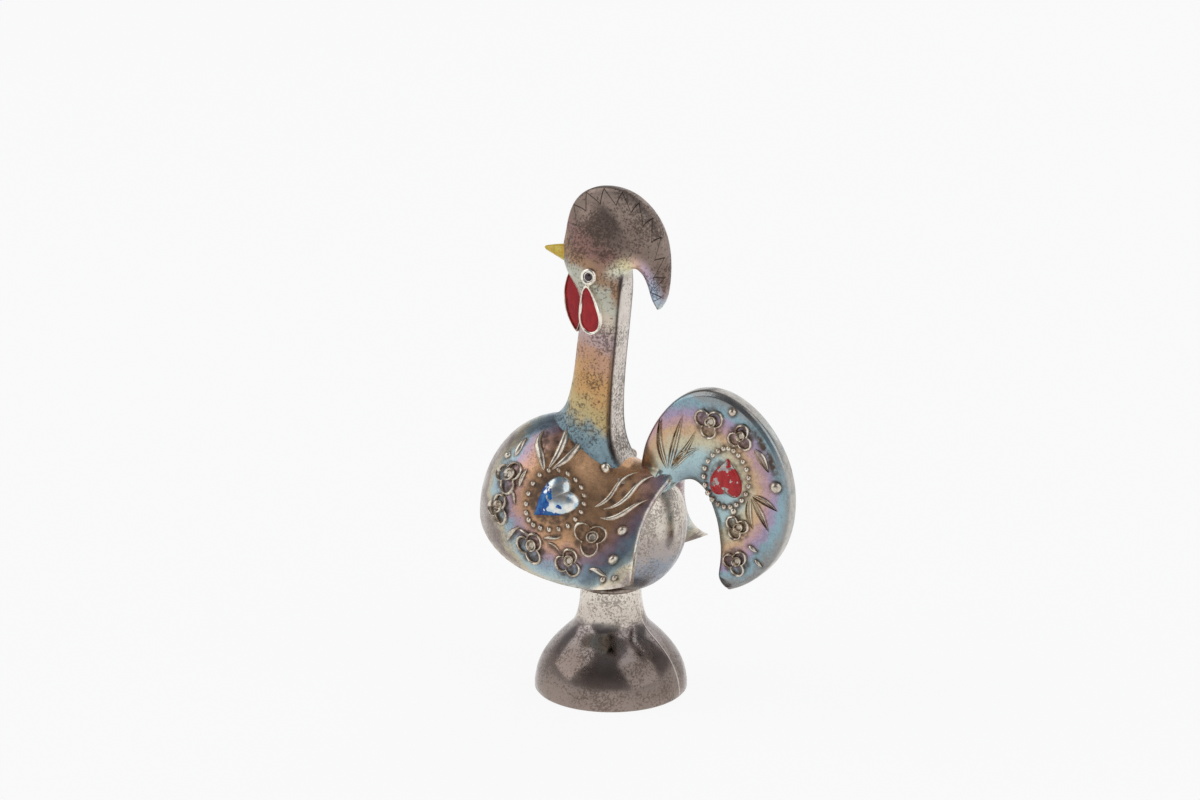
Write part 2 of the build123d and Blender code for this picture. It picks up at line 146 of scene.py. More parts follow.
class Skin:
    """Gathers the grids of one piece and lays them into one mesh."""

    def __init__(self) -> None:
        """Starts with no grid."""
        self.points: list[np.ndarray] = []
        self.faces: list[np.ndarray] = []
        self.values: dict[str, list[np.ndarray]] = {}
        self.count = 0

    def add(
        self,
        grid: np.ndarray,
        inside: Sequence[float] | None = None,
        wrap: bool = False,
        **values: np.ndarray,
    ) -> None:
        """Adds one grid of points, its faces turned away from an inside point.

        Args:
            grid: Rows by columns by 3, in millimetres.
            inside: A point behind the surface. The grid's own middle where it is left out.
            wrap: True where the last column joins the first.
            values: Named numbers for each point, rows by columns.
        """
        rows, columns, _ = grid.shape
        index = np.arange(rows * columns).reshape(rows, columns)
        if wrap:
            index = np.hstack([index, index[:, :1]])
        quads = np.stack([index[:-1, :-1], index[1:, :-1], index[1:, 1:], index[:-1, 1:]], -1).reshape(-1, 4)
        flat = grid.reshape(-1, 3)
        corners = flat[quads]
        behind = flat.mean(0) if inside is None else np.asarray(inside, float)
        across = np.cross(corners[:, 2] - corners[:, 0], corners[:, 3] - corners[:, 1])
        if np.sum(across * (corners.mean(1) - behind)) < 0:
            quads = quads[:, ::-1]
        self.points.append(flat)
        self.faces.append(quads + self.count)
        self.count += len(flat)
        for name, numbers in values.items():
            self.values.setdefault(name, []).append(np.broadcast_to(numbers, (rows, columns)).ravel())

    def build(
        self, name: str, finish: Material, slot: str, nodes: Sequence[str], sharp: float = 55.0
    ) -> None:
        """Makes the object, sets it on the body and hides the nodes it stands for.

        Args:
            name: The piece's name.
            finish: Its material.
            slot: The record's slot of that finish.
            nodes: The nodes that the piece replaces.
            sharp: Edges that turn by more than this many degrees stay crisp.
        """
        mesh = bpy.data.meshes.new(name)
        mesh.from_pydata((np.concatenate(self.points) * MM).tolist(), [], np.concatenate(self.faces).tolist())
        for label, numbers in self.values.items():
            layer = mesh.attributes.new(label, "FLOAT", "POINT")
            layer.data.foreach_set("value", np.concatenate(numbers).astype(np.float32))
        work = bmesh.new()
        work.from_mesh(mesh)
        bmesh.ops.remove_doubles(work, verts=work.verts, dist=2e-6)
        work.to_mesh(mesh)
        work.free()
        mesh.shade_smooth()
        mesh.set_sharp_from_angle(angle=math.radians(sharp))
        mesh.materials.append(finish)
        piece = bpy.data.objects.new(name, mesh)
        bpy.context.scene.collection.objects.link(piece)
        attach(piece, BODY)
        if nodes:
            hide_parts(*nodes)
        LOG.info("%s: %d faces in slot %s", name, len(mesh.polygons), slot)


class Wiring:
    """Adds and joins the nodes of one tree."""

    def __init__(self, tree: bpy.types.NodeTree) -> None:
        """Starts on a tree whose nodes are cleared."""
        self.tree = tree
        tree.nodes.clear()

    def node(self, kind: str, **settings: object) -> bpy.types.Node:
        """A new node of that kind with its settings."""
        made = self.tree.nodes.new(kind)
        for key, value in settings.items():
            setattr(made, key, value)
        return made

    def put(self, socket: Socket, value: object) -> None:
        """Joins another socket to this one, or sets its value."""
        if isinstance(value, Socket):
            self.tree.links.new(value, socket)
        elif isinstance(value, tuple) and len(value) == 3 and socket.type == "RGBA":
            socket.default_value = (*value, 1.0)
        else:
            socket.default_value = value

    def maths(self, rule: str, *values: object) -> Socket:
        """The result of one arithmetic rule on sockets or numbers."""
        made = self.node("ShaderNodeMath", operation=rule)
        for socket, value in zip(made.inputs, values):
            self.put(socket, value)
        return made.outputs[0]

    def vector(self, rule: str, *values: object) -> bpy.types.Node:
        """A vector arithmetic node on sockets or triples."""
        made = self.node("ShaderNodeVectorMath", operation=rule)
        for socket, value in zip(made.inputs, values):
            self.put(socket, value)
        return made

    def noise(self, at: Socket, scale: object, detail: float = 3.0, rough: float = 0.55) -> Socket:
        """Soft noise between 0 and 1 at a place."""
        made = self.node("ShaderNodeTexNoise")
        self.put(made.inputs["Vector"], at)
        self.put(made.inputs["Scale"], scale)
        self.put(made.inputs["Detail"], detail)
        self.put(made.inputs["Roughness"], rough)
        return made.outputs["Fac"]

    def ranged(self, value: object, low: float, high: float) -> Socket:
        """A value carried from low..high to 0..1 by the smooth step."""
        made = self.node("ShaderNodeMapRange", interpolation_type="SMOOTHSTEP")
        self.put(made.inputs["Value"], value)
        self.put(made.inputs["From Min"], low)
        self.put(made.inputs["From Max"], high)
        return made.outputs["Result"]

    def ramp(self, value: object, stops: Sequence[tuple[float, Colour]]) -> Socket:
        """The colour of a row of stops at a value between 0 and 1."""
        made = self.node("ShaderNodeValToRGB")
        band = made.color_ramp
        band.interpolation = "EASE"
        band.elements.remove(band.elements[0])
        band.elements[0].position = stops[0][0]
        band.elements[0].color = (*stops[0][1], 1.0)
        for place, colour in stops[1:]:
            band.elements.new(place).color = (*colour, 1.0)
        self.put(made.inputs[0], value)
        return made.outputs[0]

    def blend(self, share: object, first: object, second: object) -> Socket:
        """The second colour over the first by a share."""
        made = self.node("ShaderNodeMix", data_type="RGBA")
        self.put(made.inputs[0], share)
        self.put(made.inputs[6], first)
        self.put(made.inputs[7], second)
        return made.outputs[2]

    def attribute(self, name: str) -> Socket:
        """A number that the piece carries at each point."""
        return self.node("ShaderNodeAttribute", attribute_name=name).outputs["Fac"]

    def place(self) -> Socket:
        """The point in the object's own frame, in millimetres."""
        at = self.node("ShaderNodeTexCoord").outputs["Object"]
        return self.vector("MULTIPLY", at, (1 / MM, 1 / MM, 1 / MM)).outputs[0]


class Effects:
    """The node groups that several finishes share, each built once."""

    def __init__(self) -> None:
        """Builds the groups."""
        self.speckle = self._speckle()
        self.drift = self._drift()
        self.dents = self._dents()

    @staticmethod
    def _group(
        name: str, inputs: Sequence[tuple[str, str]], output: str
    ) -> tuple[Wiring, bpy.types.Node, bpy.types.Node]:
        """A new group with named inputs and one value output, and its two end nodes."""
        tree = bpy.data.node_groups.new(name, "ShaderNodeTree")
        for label, kind in inputs:
            tree.interface.new_socket(label, in_out="INPUT", socket_type=kind)
        tree.interface.new_socket(output, in_out="OUTPUT", socket_type="NodeSocketFloat")
        wiring = Wiring(tree)
        return wiring, wiring.node("NodeGroupInput"), wiring.node("NodeGroupOutput")

    def _speckle(self) -> bpy.types.NodeTree:
        """Fine dark tarnish spots that gather in patches: fine noise over a bar that coarse noise lifts."""
        inputs = [("Vector", "NodeSocketVector"), ("Amount", "NodeSocketFloat"), ("Grain", "NodeSocketFloat")]
        w, start, end = self._group("tarnish_speckle", inputs, "Mask")
        fine = w.noise(start.outputs["Vector"], start.outputs["Grain"], 4.0, 0.72)
        patch = w.noise(start.outputs["Vector"], 0.11, 3.0, 0.6)
        both = w.maths("ADD", fine, w.maths("MULTIPLY", w.maths("SUBTRACT", patch, 0.5), 0.55))
        spots = w.ranged(both, 0.49, 0.61)
        w.put(end.inputs["Mask"], w.maths("MULTIPLY", spots, start.outputs["Amount"]))
        return w.tree

    def _drift(self) -> bpy.types.NodeTree:
        """How far the toning bands wander: coarse and middling noise about zero times an amount."""
        inputs = [("Vector", "NodeSocketVector"), ("Amount", "NodeSocketFloat")]
        w, start, end = self._group("toning_drift", inputs, "Shift")
        coarse = w.noise(start.outputs["Vector"], 0.07, 4.0, 0.62)
        middling = w.noise(start.outputs["Vector"], 0.3, 3.0, 0.6)
        both = w.maths("ADD", coarse, w.maths("MULTIPLY", middling, 0.35))
        centred = w.maths("SUBTRACT", both, 0.675)
        w.put(end.inputs["Shift"], w.maths("MULTIPLY", centred, start.outputs["Amount"]))
        return w.tree

    def _dents(self) -> bpy.types.NodeTree:
        """The low unevenness of hand-raised metal, with a trace of fine pitting."""
        inputs = [("Vector", "NodeSocketVector"), ("Pitting", "NodeSocketFloat")]
        w, start, end = self._group("raised_metal_dents", inputs, "Height")
        waves = w.noise(start.outputs["Vector"], 0.16, 2.0, 0.4)
        pits = w.noise(start.outputs["Vector"], 2.2, 3.0, 0.7)
        fine = w.maths("MULTIPLY", pits, start.outputs["Pitting"])
        w.put(end.inputs["Height"], w.maths("ADD", waves, fine))
        return w.tree


def use_group(w: Wiring, tree: bpy.types.NodeTree, **values: object) -> Socket:
    """The one output of a shared group, placed with its own values."""
    made = w.node("ShaderNodeGroup", node_tree=tree)
    for label, value in values.items():
        w.put(made.inputs[label], value)
    return made.outputs[0]


def new_material(name: str) -> tuple[Material, Wiring, bpy.types.Node]:
    """A node material with its shader already joined to the output."""
    material = bpy.data.materials.new(name)
    material.use_nodes = True
    w = Wiring(material.node_tree)
    shader = w.node("ShaderNodeBsdfPrincipled")
    w.put(w.node("ShaderNodeOutputMaterial").inputs["Surface"], shader.outputs[0])
    return material, w, shader


@dataclass(frozen=True)
class TonedSilver:
    """Tarnished silver with bands of toning, speckle and dark recesses: tarnish beside raised ornament, and
    painted shade in the wing hollow, underneath and on parts of the tail.

    The bands follow the height, with a slant, or the distance from a centre in side view, plus a drift.
    """

    name: str
    stops: tuple[tuple[float, Colour], ...]
    drive: Drive = Drive.HEIGHT
    centre: Triple = (0.0, 0.0, 0.0)
    reach: float = 100.0
    slant: float = 0.0
    drift: float = 0.3
    speckle: float = 0.4
    grain: float = 1.5
    spot_colour: Colour = (0.10, 0.07, 0.055)
    roughness: float = 0.2
    bump: float = 0.12
    pitting: float = 0.05
    recesses: bool = False
    panel: bool = False
    engraved: bool = False
    seam: bool = False

    def _bands(self, w: Wiring, at: Socket, effects: Effects) -> Socket:
        """The toning colour at each point."""
        if self.drive is Drive.HEIGHT:
            split = w.node("ShaderNodeSeparateXYZ")
            w.put(split.inputs[0], at)
            level = w.maths("ADD", split.outputs["Z"], w.maths("MULTIPLY", split.outputs["X"], self.slant))
            along = w.maths("DIVIDE", w.maths("SUBTRACT", level, self.centre[2]), self.reach)
        else:
            flat = w.vector("MULTIPLY", at, (1.0, 0.0, 1.0)).outputs[0]
            away = w.vector("DISTANCE", flat, self.centre).outputs["Value"]
            along = w.maths("DIVIDE", away, self.reach)
        shift = use_group(w, effects.drift, Vector=at, Amount=self.drift)
        return w.ramp(w.maths("ADD", along, shift), self.stops)

    def build(self, effects: Effects) -> Material:
        """Makes the material.

        Args:
            effects: The shared node groups.

        Returns:
            The finished material.
        """
        material, w, shader = new_material(self.name)
        at = w.place()
        colour = self._bands(w, at, effects)
        spots = use_group(w, effects.speckle, Vector=at, Amount=self.speckle, Grain=self.grain)
        height = use_group(w, effects.dents, Vector=at, Pitting=self.pitting)
        if self.panel:
            pale = w.blend(w.noise(at, 0.5), *BACK_PANEL)
            colour = w.blend(w.attribute("panel"), colour, pale)
            colour = w.blend(w.attribute("under"), colour, w.ramp(w.attribute("along"), UNDER_COMB))
            # Painted reflection: the dark line along the neck's crease stands in for the dark reflection
            # there; it is also cut in as a shallow groove.
            line = w.maths("MULTIPLY", w.attribute("crease"), w.ranged(w.noise(at, 0.35), 0.1, 0.45))
            colour = w.blend(line, colour, (0.05, 0.035, 0.03))
            height = w.maths("SUBTRACT", height, w.maths("MULTIPLY", line, 2.0))
        colour = w.blend(spots, colour, self.spot_colour)
        sheen = w.maths("MULTIPLY", w.noise(at, 0.4), 2 * self.roughness)
        rough = w.maths("ADD", w.maths("MULTIPLY", spots, 0.35), sheen)
        if self.recesses:
            # The recess value darkens tarnish beside raised ornament and painted shade in the wing hollow, on
            # the underside and on parts of the tail.
            patina_and_shade = w.maths("MULTIPLY", w.attribute("recess"), w.ranged(w.noise(at, 0.6), 0.2, 0.6))
            colour = w.blend(w.maths("MULTIPLY", patina_and_shade, 0.85), colour, (0.11, 0.08, 0.065))
            # worn lightens rubbed edges; along the tail's outer edge it is partly a painted highlight on the
            # rounded rim.
            worn = w.maths("MULTIPLY", w.attribute("worn"), w.ranged(w.noise(at, 0.5), 0.2, 0.6))
            colour = w.blend(worn, colour, (0.76, 0.69, 0.60))
            rough = w.maths("ADD", rough, w.maths("MULTIPLY", patina_and_shade, 0.2))
        if self.engraved:
            cut = self._zigzag(w)
            colour = w.blend(cut, colour, (0.05, 0.035, 0.03))
            height = w.maths("SUBTRACT", height, w.maths("MULTIPLY", cut, 1.5))
        if self.seam:
            split = w.node("ShaderNodeSeparateXYZ")
            w.put(split.inputs[0], at)
            ridge = w.maths("SUBTRACT", 1.0, w.ranged(w.maths("ABSOLUTE", split.outputs["Y"]), 0.05, 0.55))
            height = w.maths("ADD", height, w.maths("MULTIPLY", ridge, 2.0))
            # Painted highlight: the seam ridge is also lightened in colour for the light it catches.
            colour = w.blend(w.maths("MULTIPLY", ridge, 0.5), colour, (0.78, 0.72, 0.64))
        bump = w.node("ShaderNodeBump")
        w.put(bump.inputs["Strength"], self.bump)
        w.put(bump.inputs["Distance"], 1.0 * MM)
        w.put(bump.inputs["Height"], height)
        w.put(shader.inputs["Base Color"], colour)
        w.put(shader.inputs["Metallic"], 1.0)
        w.put(shader.inputs["Roughness"], rough)
        w.put(shader.inputs["Normal"], bump.outputs[0])
        return material

    @staticmethod
    def _zigzag(w: Wiring) -> Socket:
        """A mask of engraved lines that swing between two depths below the comb's rim in a triangle wave."""
        run = w.maths("DIVIDE", w.attribute("run"), ZIGZAG_PITCH)
        wave = w.maths("PINGPONG", run, 0.5)
        line = w.maths("ADD", ZIGZAG_TOP, w.maths("MULTIPLY", wave, 2 * ZIGZAG_DEPTH))
        away = w.maths("ABSOLUTE", w.maths("SUBTRACT", w.attribute("depth"), line))
        stroke = w.maths("SUBTRACT", 1.0, w.ranged(away, 0.12, 0.42))
        return w.maths("MULTIPLY", stroke, w.attribute("rim"))


@dataclass(frozen=True)
class RaisedSilver:
    """Polished raised ornament: pale silver, warmer and darker in patches."""

    name: str
    bright: Colour = (0.74, 0.68, 0.58)
    warm: Colour = (0.42, 0.33, 0.26)
    dark: Colour = (0.16, 0.115, 0.085)
    roughness: float = 0.17

    def build(self, effects: Effects) -> Material:
        """Makes the material from the shared groups and the piece's own hollow attribute."""
        material, w, shader = new_material(self.name)
        at = w.place()
        worn = w.ranged(w.noise(at, 0.35, 3.0, 0.6), 0.38, 0.72)
        colour = w.blend(worn, self.bright, self.warm)
        colour = w.blend(w.attribute("hollow"), colour, self.dark)
        spots = use_group(w, effects.speckle, Vector=at, Amount=0.35, Grain=2.0)
        colour = w.blend(spots, colour, self.dark)
        rough = w.maths("ADD", self.roughness, w.maths("MULTIPLY", spots, 0.3))
        w.put(shader.inputs["Base Color"], colour)
        w.put(shader.inputs["Metallic"], 1.0)
        w.put(shader.inputs["Roughness"], rough)
        return material


@dataclass(frozen=True)
class Enamel:
    """Cold enamel over silver. Worn enamel shows the silver where noise and a lean fall under a bar."""

    name: str
    deep: Colour
    light: Colour
    wear: float | None = None
    lean: Triple = (0.0, 0.0, 0.0)
    centre: Triple = (0.0, 0.0, 0.0)
    ground: tuple[Colour, Colour] = ((0.72, 0.68, 0.62), (0.42, 0.40, 0.38))
    roughness: float = 0.16

    def build(self, effects: Effects) -> Material:
        """Makes the material: mottled colour, brush streaks, and bare silver where it is worn."""
        material, w, shader = new_material(self.name)
        at = w.place()
        streaks = w.noise(w.vector("MULTIPLY", at, (1.0, 1.0, 0.35)).outputs[0], 0.9, 3.0, 0.6)
        colour = w.blend(w.ranged(streaks, 0.3, 0.75), self.deep, self.light)
        spots = use_group(w, effects.speckle, Vector=at, Amount=0.25, Grain=1.5)
        colour = w.blend(spots, colour, tuple(0.35 * c for c in self.deep))
        if self.wear is not None:
            offset = w.vector("SUBTRACT", at, self.centre).outputs[0]
            side = w.vector("DOT_PRODUCT", offset, self.lean).outputs["Value"]
            patches = w.maths("SUBTRACT", w.noise(at, 0.3, 3.0, 0.6), 0.5)
            level = w.maths("ADD", w.maths("MULTIPLY", patches, 1.6), side)
            bare = w.maths("SUBTRACT", 1.0, w.ranged(level, self.wear, self.wear + 0.04))
            silver = w.blend(w.ranged(w.noise(at, 0.35), 0.35, 0.65), *self.ground)
            colour = w.blend(bare, colour, silver)
            w.put(shader.inputs["Metallic"], bare)
        rough = w.maths("ADD", self.roughness, w.maths("MULTIPLY", streaks, 0.12))
        bump = w.node("ShaderNodeBump")
        w.put(bump.inputs["Strength"], 0.15)
        w.put(bump.inputs["Distance"], 0.4 * MM)
        w.put(bump.inputs["Height"], streaks)
        w.put(shader.inputs["Base Color"], colour)
        w.put(shader.inputs["Roughness"], rough)
        w.put(shader.inputs["Coat Weight"], 0.15)
        w.put(shader.inputs["Specular IOR Level"], 0.35)
        w.put(shader.inputs["Normal"], bump.outputs[0])
        return material


ZIGZAG_PITCH = 6.2
ZIGZAG_TOP = 0.6
ZIGZAG_DEPTH = 4.6
WING_HEART = (-8.6, 0.0, 64.6)
TAIL_HEART = (40.0, 0.0, 73.6)

BACK_PANEL = ((0.80, 0.75, 0.68), (0.62, 0.55, 0.50))
UNDER_COMB = (
    (0.0, (0.70, 0.70, 0.58)),
    (0.35, (0.74, 0.66, 0.42)),
    (0.55, (0.72, 0.50, 0.40)),
    (0.72, (0.58, 0.44, 0.56)),
    (0.86, (0.42, 0.52, 0.66)),
    (1.0, (0.50, 0.56, 0.56)),
)

FOOT_SILVER = TonedSilver(
    name="foot_silver",
    stops=(
        (0, (0.3, 0.24, 0.21)),
        (0.35, (0.22, 0.175, 0.155)),
        (0.6, (0.3, 0.26, 0.25)),
        (0.72, (0.62, 0.55, 0.48)),
        (1, (0.78, 0.71, 0.63)),
    ),
    reach=34.0,
    drift=0.4,
    speckle=0.6,
    roughness=0.15,
    seam=True,
)

BELLY_SILVER = TonedSilver(
    name="belly_silver",
    stops=(
        (0, (0.24, 0.20, 0.18)),
        (0.18, (0.28, 0.31, 0.36)),
        (0.4, (0.44, 0.38, 0.35)),
        (0.58, (0.7, 0.64, 0.56)),
        (1, (0.78, 0.72, 0.64)),
    ),
    centre=(0.0, 0.0, 34.0),
    reach=40.0,
    drift=0.6,
    speckle=0.6,
    spot_colour=(0.20, 0.16, 0.14),
    roughness=0.26,
    seam=True,
)

WING_SILVER = TonedSilver(
    name="wing_silver",
    stops=(
        (0, (0.68, 0.41, 0.23)),
        (0.38, (0.65, 0.38, 0.21)),
        (0.5, (0.53, 0.32, 0.26)),
        (0.58, (0.4, 0.3, 0.36)),
        (0.65, (0.29, 0.38, 0.46)),
        (0.72, (0.41, 0.52, 0.54)),
        (0.79, (0.5, 0.45, 0.34)),
        (0.86, (0.3, 0.25, 0.23)),
        (0.93, (0.4, 0.355, 0.325)),
        (1, (0.48, 0.435, 0.4)),
    ),
    drive=Drive.RINGS,
    centre=(-2.0, 0.0, 68.0),
    reach=36.0,
    drift=0.36,
    speckle=0.3,
    roughness=0.26,
    recesses=True,
)

TAIL_SILVER = TonedSilver(
    name="tail_silver",
    stops=(
        (0, (0.18, 0.17, 0.18)),
        (0.14, (0.29, 0.39, 0.43)),
        (0.34, (0.41, 0.55, 0.57)),
        (0.46, (0.58, 0.53, 0.38)),
        (0.58, (0.6, 0.41, 0.26)),
        (0.66, (0.5, 0.33, 0.36)),
        (0.73, (0.38, 0.31, 0.44)),
        (0.8, (0.27, 0.41, 0.47)),
        (0.9, (0.29, 0.3, 0.3)),
        (1, (0.17, 0.13, 0.12)),
    ),
    drive=Drive.RINGS,
    centre=(30.0, 0.0, 68.0),
    reach=34.0,
    drift=0.24,
    speckle=0.22,
    roughness=0.24,
    recesses=True,
)

CREST_SILVER = TonedSilver(
    name="crest_silver",
    stops=(
        (0, (0.12, 0.19, 0.25)),
        (0.1, (0.24, 0.34, 0.38)),
        (0.17, (0.54, 0.43, 0.22)),
        (0.28, (0.58, 0.34, 0.15)),
        (0.38, (0.52, 0.31, 0.21)),
        (0.46, (0.5, 0.38, 0.38)),
        (0.54, (0.64, 0.56, 0.46)),
        (0.62, (0.5, 0.5, 0.42)),
        (0.68, (0.38, 0.24, 0.15)),
        (0.75, (0.28, 0.165, 0.14)),
        (0.83, (0.24, 0.18, 0.15)),
        (1, (0.31, 0.245, 0.21)),
    ),
    centre=(0.0, 0.0, 72.0),
    reach=85.0,
    slant=0.6,
    drift=0.2,
    speckle=0.64,
    grain=1.35,
    spot_colour=(0.075, 0.052, 0.044),
    roughness=0.36,
    pitting=0.4,
    panel=True,
    engraved=True,
)

BRIGHT_SILVER = RaisedSilver(name="bright_silver")
RIM_SILVER = RaisedSilver(name="rim_silver", bright=(0.92, 0.87, 0.77), warm=(0.74, 0.67, 0.56))
DARK_SILVER = RaisedSilver(name="dark_silver", bright=(0.10, 0.08, 0.10), warm=(0.03, 0.025, 0.03))
# The collar ring is dark silver as painted shade: the shadow under the wings drawn into its colour.
SHADED_COLLAR_SILVER = RaisedSilver(name="shaded_collar_silver", bright=(0.34, 0.28, 0.24), warm=(0.10, 0.075, 0.06))
RED_ENAMEL = Enamel(name="red_enamel", deep=(0.42, 0.0, 0.008), light=(0.60, 0.012, 0.02))
YELLOW_ENAMEL = Enamel(name="yellow_enamel", deep=(0.80, 0.48, 0.02), light=(0.92, 0.74, 0.12))
WORN_BLUE = Enamel(
    name="blue_enamel",
    deep=(0.005, 0.06, 0.38),
    light=(0.02, 0.26, 0.62),
    wear=0.03,
    lean=(-0.07, 0.0, -0.06),
    centre=WING_HEART,
    ground=((0.82, 0.79, 0.72), (0.42, 0.58, 0.68)),
)
WORN_RED = Enamel(
    name="worn_red_enamel",
    deep=(0.50, 0.01, 0.015),
    light=(0.66, 0.03, 0.03),
    wear=-0.1,
    centre=TAIL_HEART,
    ground=((0.52, 0.50, 0.48), (0.30, 0.28, 0.27)),
)


@dataclass
class Foot:
    """The spun bell foot with its stem, and the collar ring on top of it."""

    profile: tuple[Place, ...] = (
        (23.5, 2.2),
        (22.6, 6.6),
        (19.0, 13.2),
        (14.6, 18.0),
        (11.4, 21.5),
        (9.9, 26.0),
        (9.2, 32.8),
    )
    wall: float = 1.4
    collar_radius: float = 9.5
    collar_half: float = 0.9
    turns: int = 128

    def build(self, finish: Material, collar_finish: Material) -> None:
        """Builds the bell and the collar.

        Args:
            finish: The bell's material.
            collar_finish: The collar's material, dark silver as painted shade under the wings.
        """
        bell = smooth_curve(self.profile, 60)
        edge = self.profile[0][0]
        wall = self.wall
        lip = [(edge - 2 * wall, wall), (edge - wall, 0.1), (edge - 0.4, 0.0), (edge, 0.5)]
        skin = Skin()
        skin.add(spun(np.concatenate([lip, bell]), self.turns), inside=(0.0, 0.0, 10.0), wrap=True)
        skin.build("bell_foot", finish, "foot_silver", ["foot_bell"])
        angle = round_angles(20)
        radius = self.collar_radius + self.collar_half * np.cos(angle)
        height = self.profile[-1][1] + self.collar_half * (1 + np.sin(angle))
        ring = np.stack([radius, height], -1)
        collar = Skin()
        collar.add(spun(np.concatenate([ring, ring[:1]]), self.turns), wrap=True)
        collar.build("stem_ring", collar_finish, "foot_silver", ["stem_collar"])


@dataclass
class Belly:
    """The smooth egg between stem and wings: an ellipsoid, narrower from side to side, that leans back."""

    centre: Triple = (5.2, 0.0, 53.0)
    radius: float = 18.8
    half_width: float = 16.5
    half_height: float = 21.0
    lean: float = 13.5
    top: float = 0.82
    seat: tuple[Place, ...] = ((0.0, 33.6), (8.4, 33.6), (9.6, 34.2), (10.0, 35.2), (9.6, 36.6), (8.0, 38.6))
    turns: int = 96

    def build(self, finish: Material) -> None:
        """Builds the egg from its lower pole to a level that the wings hide, and its seat in the collar."""
        rise = np.linspace(-np.pi / 2, np.arcsin(self.top), 60)[:, None]
        angle = round_angles(self.turns)[None, :]
        x = self.radius * np.cos(rise) * np.cos(angle)
        y = self.half_width * np.cos(rise) * np.sin(angle)
        z = self.half_height * np.sin(rise) * np.ones_like(angle)
        tilt = math.radians(self.lean)
        c, s = math.cos(tilt), math.sin(tilt)
        egg = np.stack([x * c + z * s, y, z * c - x * s], -1)
        egg = np.concatenate([egg, np.broadcast_to(egg[-1:].mean(1, keepdims=True), egg[-1:].shape)])
        skin = Skin()
        skin.add(spun(np.array(self.seat), self.turns), inside=(0.0, 0.0, 38.0), wrap=True)
        skin.add(egg + np.array(self.centre), wrap=True)
        skin.build("egg_belly", finish, "belly_silver", ["belly"])


